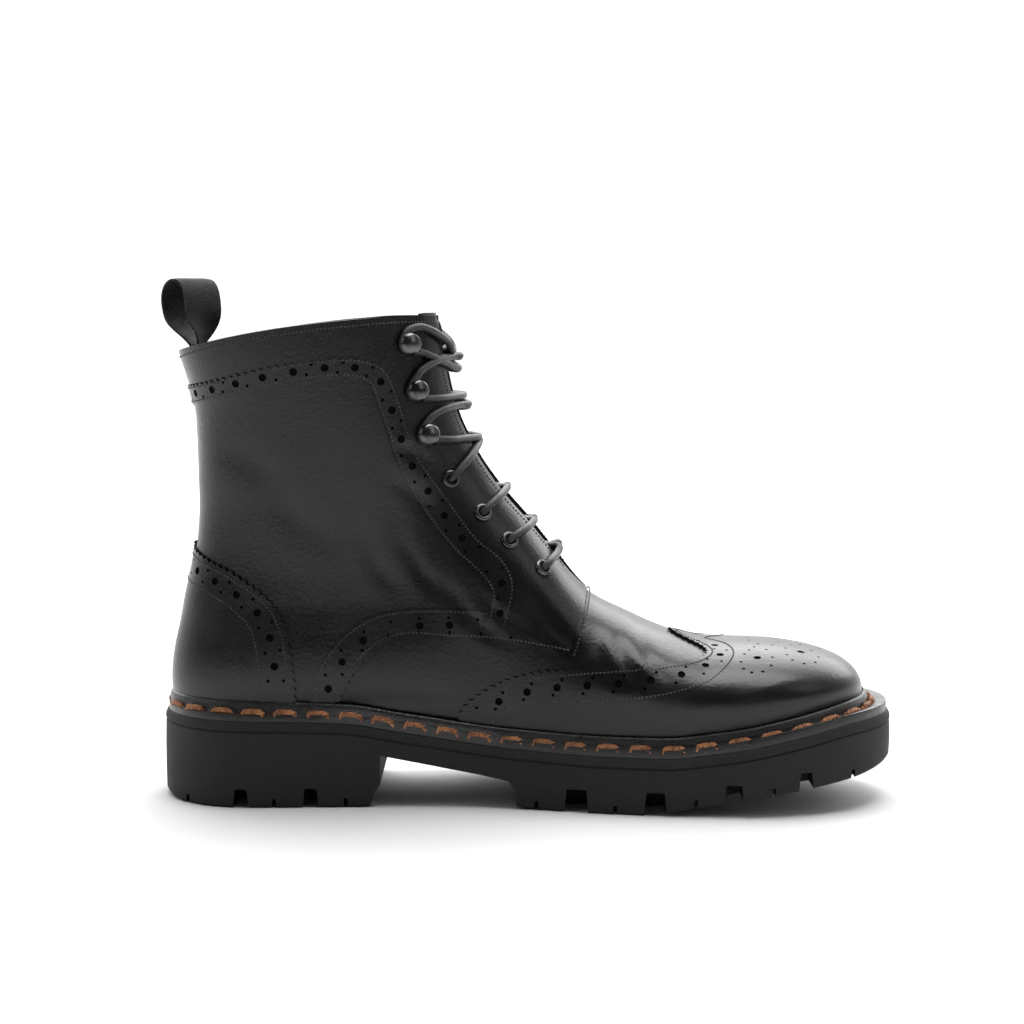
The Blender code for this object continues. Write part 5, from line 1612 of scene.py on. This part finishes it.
# Colours from dark to light, scales of the broad and fine noise, roughness with its spread, strength of
# the pebble and grain bumps, coat with its roughness, metal, dust with its colour, and reflection
Look = namedtuple(
    "Look", "dark light broad fine rough spread pebble grain coat coat_rough metal dust dust_colour specular"
)
LOOKS = {
    "smooth leather": Look(
        (0.0035, 0.0035, 0.0040), (0.0075, 0.0078, 0.0085),
        26, 420, 0.33, 0.09, 0.16, 0.42, 0.12, 0.20, 0, 0.0, (0.1, 0.1, 0.1), 0.36),
    "strip leather": Look(
        (0.0035, 0.0035, 0.0040), (0.0075, 0.0078, 0.0085),
        30, 420, 0.33, 0.08, 0.14, 0.38, 0.12, 0.20, 0, 0.0, (0.1, 0.1, 0.1), 0.36),
    "lining leather": Look(
        (0.010, 0.009, 0.008), (0.016, 0.014, 0.013),
        22, 500, 0.62, 0.06, 0.14, 0.20, 0.0, 0.4, 0, 0.0, (0.1, 0.1, 0.1), 0.4),
    "footbed": Look(
        (0.030, 0.022, 0.016), (0.055, 0.042, 0.030),
        22, 400, 0.7, 0.06, 0.12, 0.22, 0.0, 0.4, 0, 0.0, (0.1, 0.1, 0.1), 0.4),
    "sole rubber": Look(
        (0.0085, 0.0080, 0.0075), (0.0150, 0.0140, 0.0130),
        40, 1500, 0.72, 0.08, 0.25, 0.35, 0.0, 0.4, 0, 0.35, (0.16, 0.15, 0.13), 0.4),
    "waxed welt": Look(
        (0.0035, 0.0035, 0.0035), (0.0090, 0.0085, 0.0080),
        160, 900, 0.38, 0.14, 0.45, 0.5, 0.3, 0.25, 0, 0.10, (0.06, 0.05, 0.04), 0.5),
    "tan thread": Look(
        (0.16, 0.060, 0.022), (0.46, 0.19, 0.075),
        400, 2600, 0.6, 0.1, 0.2, 0.4, 0.05, 0.3, 0, 0.0, (0.1, 0.1, 0.1), 0.4),
    # Black thread lightened to grey: its own dark colour plus painted glint that stands for the stitches
    # catching the light
    "black thread with painted glint": Look(
        (0.022, 0.022, 0.024), (0.055, 0.055, 0.058),
        300, 2600, 0.42, 0.1, 0.2, 0.4, 0.0, 0.3, 0, 0.0, (0.1, 0.1, 0.1), 0.5),
    "waxed cord": Look(
        (0.0050, 0.0050, 0.0050), (0.0140, 0.0140, 0.0145),
        300, 1500, 0.42, 0.08, 0.6, 0.3, 0.15, 0.3, 0, 0.0, (0.1, 0.1, 0.1), 0.5),
    "twill webbing": Look(
        (0.0050, 0.0050, 0.0050), (0.0150, 0.0150, 0.0150),
        300, 1300, 0.75, 0.08, 0.7, 0.5, 0.0, 0.4, 0, 0.0, (0.1, 0.1, 0.1), 0.4),
    # Painted shade: darker than the leather, it stands for the shadow inside the punched holes
    "hole shade": Look(
        (0.0012, 0.0012, 0.0012), (0.0024, 0.0024, 0.0024),
        90, 900, 0.9, 0.05, 0.05, 0.05, 0.0, 0.4, 0, 0.0, (0.1, 0.1, 0.1), 0.1),
    "gunmetal": Look(
        (0.07, 0.07, 0.075), (0.15, 0.145, 0.14),
        90, 900, 0.24, 0.06, 0.04, 0.05, 0.0, 0.2, 1, 0.0, (0.1, 0.1, 0.1), 0.5),
    "studio floor": Look(
        (0.80, 0.80, 0.80), (0.84, 0.84, 0.84),
        3, 200, 0.8, 0.04, 0.02, 0.03, 0.0, 0.4, 0, 0.0, (0.8, 0.8, 0.8), 0.3),
}
FINISH = {}


def finish(name, light=None):
    """The material of a look, made once; a colour from the panel takes the lighter one's place."""
    if name not in FINISH:
        look = LOOKS[name]
        FINISH[name] = surface_material(name, look if light is None else look._replace(light=tuple(light)))
    return FINISH[name]


class BootSizes(bpy.types.PropertyGroup):
    """Sizes and colours a user would change."""

    lace_width: bpy.props.FloatProperty(
        name="Lace width", description="Diameter of the round lace", default=LACE_DIAMETER,
        min=0.001, max=0.006, subtype="DISTANCE", unit="LENGTH")
    hole_size: bpy.props.FloatProperty(
        name="Large hole radius", description="Radius of the large punched holes", default=HOLE_LARGE,
        min=0.0005, max=0.003, subtype="DISTANCE", unit="LENGTH")
    stitch_pitch: bpy.props.FloatProperty(
        name="Seam pitch", description="Length of one fine stitch with its gap", default=STITCH_PITCH,
        min=0.001, max=0.005, subtype="DISTANCE", unit="LENGTH")
    thread_colour: bpy.props.FloatVectorProperty(
        name="Welt thread", description="Lighter colour of the welt's thread",
        default=LOOKS["tan thread"].light,
        min=0.0, max=1.0, size=3, subtype="COLOR")
    leather_colour: bpy.props.FloatVectorProperty(
        name="Leather", description="Lighter colour of the leather",
        default=LOOKS["smooth leather"].light,
        min=0.0, max=1.0, size=3, subtype="COLOR")
    key_light: bpy.props.FloatProperty(
        name="Key light", description="Strength of the large light above", default=17.0,
        min=0.0, unit="POWER")


class BootOperator:
    """Shared way of running one step of the boot."""

    bl_options = {"REGISTER", "UNDO"}

    def execute(self, context):
        self.build(context.scene.boot_sizes)
        return {"FINISHED"}


class BOOT_OT_upper(BootOperator, bpy.types.Operator):
    """Build the lasted upper with its lining, and the footbed"""

    bl_idname = "boot.upper"
    bl_label = "Upper and footbed"

    def build(self, sizes):
        leather = finish("smooth leather", sizes.leather_colour)
        take_place(make_upper_skin(leather), ["upper"])
        take_place(make_footbed(finish("footbed")), ["insole"])
        take_place(make_tongue(finish("lining leather")), ["tongue"])


class BOOT_OT_panels(BootOperator, bpy.types.Operator):
    """Build the quarters, wing cap and heel counter with their punched holes"""

    bl_idname = "boot.panels"
    bl_label = "Leather panels"

    def build(self, sizes):
        leather = finish("smooth leather", sizes.leather_colour)
        punched = finish("strip leather", sizes.leather_colour)
        take_place(make_quarter(-1.0, "quarter_medial_leather", leather), ["quarter_medial"])
        take_place(make_quarter(1.0, "quarter_lateral_leather", leather), ["quarter_lateral"])
        take_place(make_wing_cap(punched, sizes.hole_size), ["wing_cap"])
        take_place(make_counter(punched, sizes.hole_size), ["heel_counter"])


class BOOT_OT_strips(BootOperator, bpy.types.Operator):
    """Build the punched strips and the fine seams"""

    bl_idname = "boot.strips"
    bl_label = "Strips and seams"

    def build(self, sizes):
        punched = finish("strip leather", sizes.leather_colour)
        take_place(make_strips(punched, sizes.hole_size), [])
        take_place(make_stitches(finish("black thread with painted glint"), sizes.stitch_pitch), [])
        take_place(make_hole_shade_discs(finish("hole shade")), [])


class BOOT_OT_fasteners(BootOperator, bpy.types.Operator):
    """Build the eyelets, speed hooks, laces and pull loop"""

    bl_idname = "boot.fasteners"
    bl_label = "Laces and metal"

    def build(self, sizes):
        eyelets = [name for name in FASTENER_NODES if name.startswith("eyelet")]
        hooks = [name for name in FASTENER_NODES if name.startswith("hook")]
        take_place(make_eyelets(finish("gunmetal")), eyelets)
        take_place(make_hooks(finish("gunmetal")), hooks)
        take_place(make_laces(finish("waxed cord"), sizes.lace_width), ["laces"])
        take_place(make_pull_loop(finish("twill webbing")), ["pull_loop"])


class BOOT_OT_sole(BootOperator, bpy.types.Operator):
    """Build the welt, its thread and the lugged sole"""

    bl_idname = "boot.sole"
    bl_label = "Welt and sole"

    def build(self, sizes):
        take_place(make_welt(finish("waxed welt")), ["welt"])
        thread = finish("tan thread", sizes.thread_colour)
        take_place(make_welt_thread(thread), [])
        take_place(make_outsole(finish("sole rubber")), ["outsole"])


class BOOT_OT_stage(BootOperator, bpy.types.Operator):
    """Set the floor, lights and camera of the studio"""

    bl_idname = "boot.stage"
    bl_label = "Studio"

    def build(self, sizes):
        make_stage(finish("studio floor"), sizes)


class BOOT_PT_panel(bpy.types.Panel):
    """Sidebar with the steps in their order"""

    bl_idname = "BOOT_PT_panel"
    bl_label = "Brogue boot"
    bl_space_type = "VIEW_3D"
    bl_region_type = "UI"
    bl_category = "Boot"

    def draw(self, context):
        rows = self.layout.column()
        for name in BootSizes.__annotations__:
            rows.prop(context.scene.boot_sizes, name)
        for operator in STEPS:
            rows.operator(operator.bl_idname)


STEPS = (
    BOOT_OT_upper, BOOT_OT_panels, BOOT_OT_strips, BOOT_OT_fasteners, BOOT_OT_sole, BOOT_OT_stage,
)
CLASSES = (BootSizes,) + STEPS + (BOOT_PT_panel,)


def register():
    for kind in CLASSES:
        bpy.utils.register_class(kind)
    bpy.types.Scene.boot_sizes = bpy.props.PointerProperty(type=BootSizes)


def unregister():
    del bpy.types.Scene.boot_sizes
    for kind in reversed(CLASSES):
        bpy.utils.unregister_class(kind)


def make_footbed(material):
    """Footbed inside the upper, seen through the collar."""
    ring = CHART.grid[:, 0].copy()
    inside = ring - plan_normals(ring) * (UPPER_WALL + INSOLE_CLEARANCE)
    rings = []
    for height in (SEAT, WELT_RISE + INSOLE_RISE - 0.0006, WELT_RISE + INSOLE_RISE):
        row = inside.copy()
        if height == WELT_RISE + INSOLE_RISE:
            row = row - plan_normals(ring) * 0.0008
        row[:, 2] = sole_top(row[:, 0]) + height
        rings.append(row)
    work = net_of_rings(rings, True, False, caps=True)
    return mesh_object("footbed_leather", work, material)


def area_light(name, place, target, size, power):
    """Soft rectangular light at a place, turned to its target."""
    light = bpy.data.lights.new(name, "AREA")
    light.shape = "RECTANGLE"
    light.size, light.size_y = size
    light.energy = power
    item = bpy.data.objects.new(name, light)
    item.location = place
    item.rotation_euler = (Vector(target) - Vector(place)).to_track_quat("-Z", "Y").to_euler()
    bpy.context.scene.collection.objects.link(item)


def studio_world():
    """White behind the boot, grey in front of it, so that the leather keeps its depth."""
    world = bpy.data.worlds.new("studio")
    world.use_nodes = True
    tree = world.node_tree
    place = tree.nodes.new("ShaderNodeTexCoord")
    parts = tree.nodes.new("ShaderNodeSeparateXYZ")
    spread = tree.nodes.new("ShaderNodeMapRange")
    spread.inputs["From Min"].default_value = -0.10
    spread.inputs["From Max"].default_value = 0.55
    spread.inputs["To Min"].default_value = 0.07
    spread.inputs["To Max"].default_value = 1.15
    tree.nodes["Background"].inputs["Color"].default_value = (1.0, 1.0, 1.0, 1.0)
    tree.links.new(place.outputs["Generated"], parts.inputs[0])
    tree.links.new(parts.outputs["Y"], spread.inputs["Value"])
    tree.links.new(spread.outputs["Result"], tree.nodes["Background"].inputs["Strength"])
    return world


def make_stage(material, sizes):
    """Pale floor, soft lights and the camera at the photo's height and distance."""
    work = bmesh.new()
    bmesh.ops.create_grid(work, x_segments=2, y_segments=2, size=3.0)
    bmesh.ops.transform(work, matrix=Matrix.Translation(-Vector(SHIFT)), verts=work.verts)
    floor = mesh_object("studio_floor", work, material)
    area_light("light_top", (0.10, 0.10, 1.25), (0.02, 0.0, 0.05), (1.1, 0.8), sizes.key_light)
    area_light("light_left", (-1.3, -0.5, 0.9), (0.0, 0.0, 0.08), (0.6, 0.9), 2.2)
    area_light("light_right", (1.2, -0.6, 0.9), (0.0, 0.0, 0.05), (0.6, 0.9), 2.2)
    area_light("light_back", (0.0, 2.6, 1.6), (0.0, 2.2, 0.0), (6.0, 2.6), 150.0)
    bpy.context.scene.world = studio_world()
    bpy.context.scene.view_settings.view_transform = "Standard"
    lens = bpy.data.cameras.new("camera")
    lens.lens = 79.45
    lens.sensor_width = 36.0
    lens.clip_start = 0.01
    camera = bpy.data.objects.new("camera", lens)
    camera.location = Vector((0.147, -0.950, 0.210)) + Vector(SHIFT)
    camera.rotation_euler = (radians(90.0 - 5.5), 0.0, 0.0)
    bpy.context.scene.collection.objects.link(camera)
    bpy.context.scene.camera = camera


SHIFT = place_shift()
CHART = Chart()


def main():
    register()
    bpy.ops.boot.upper()
    bpy.ops.boot.panels()
    bpy.ops.boot.strips()
    bpy.ops.boot.fasteners()
    bpy.ops.boot.sole()
    bpy.ops.boot.stage()


if __name__ == "__main__":
    main()
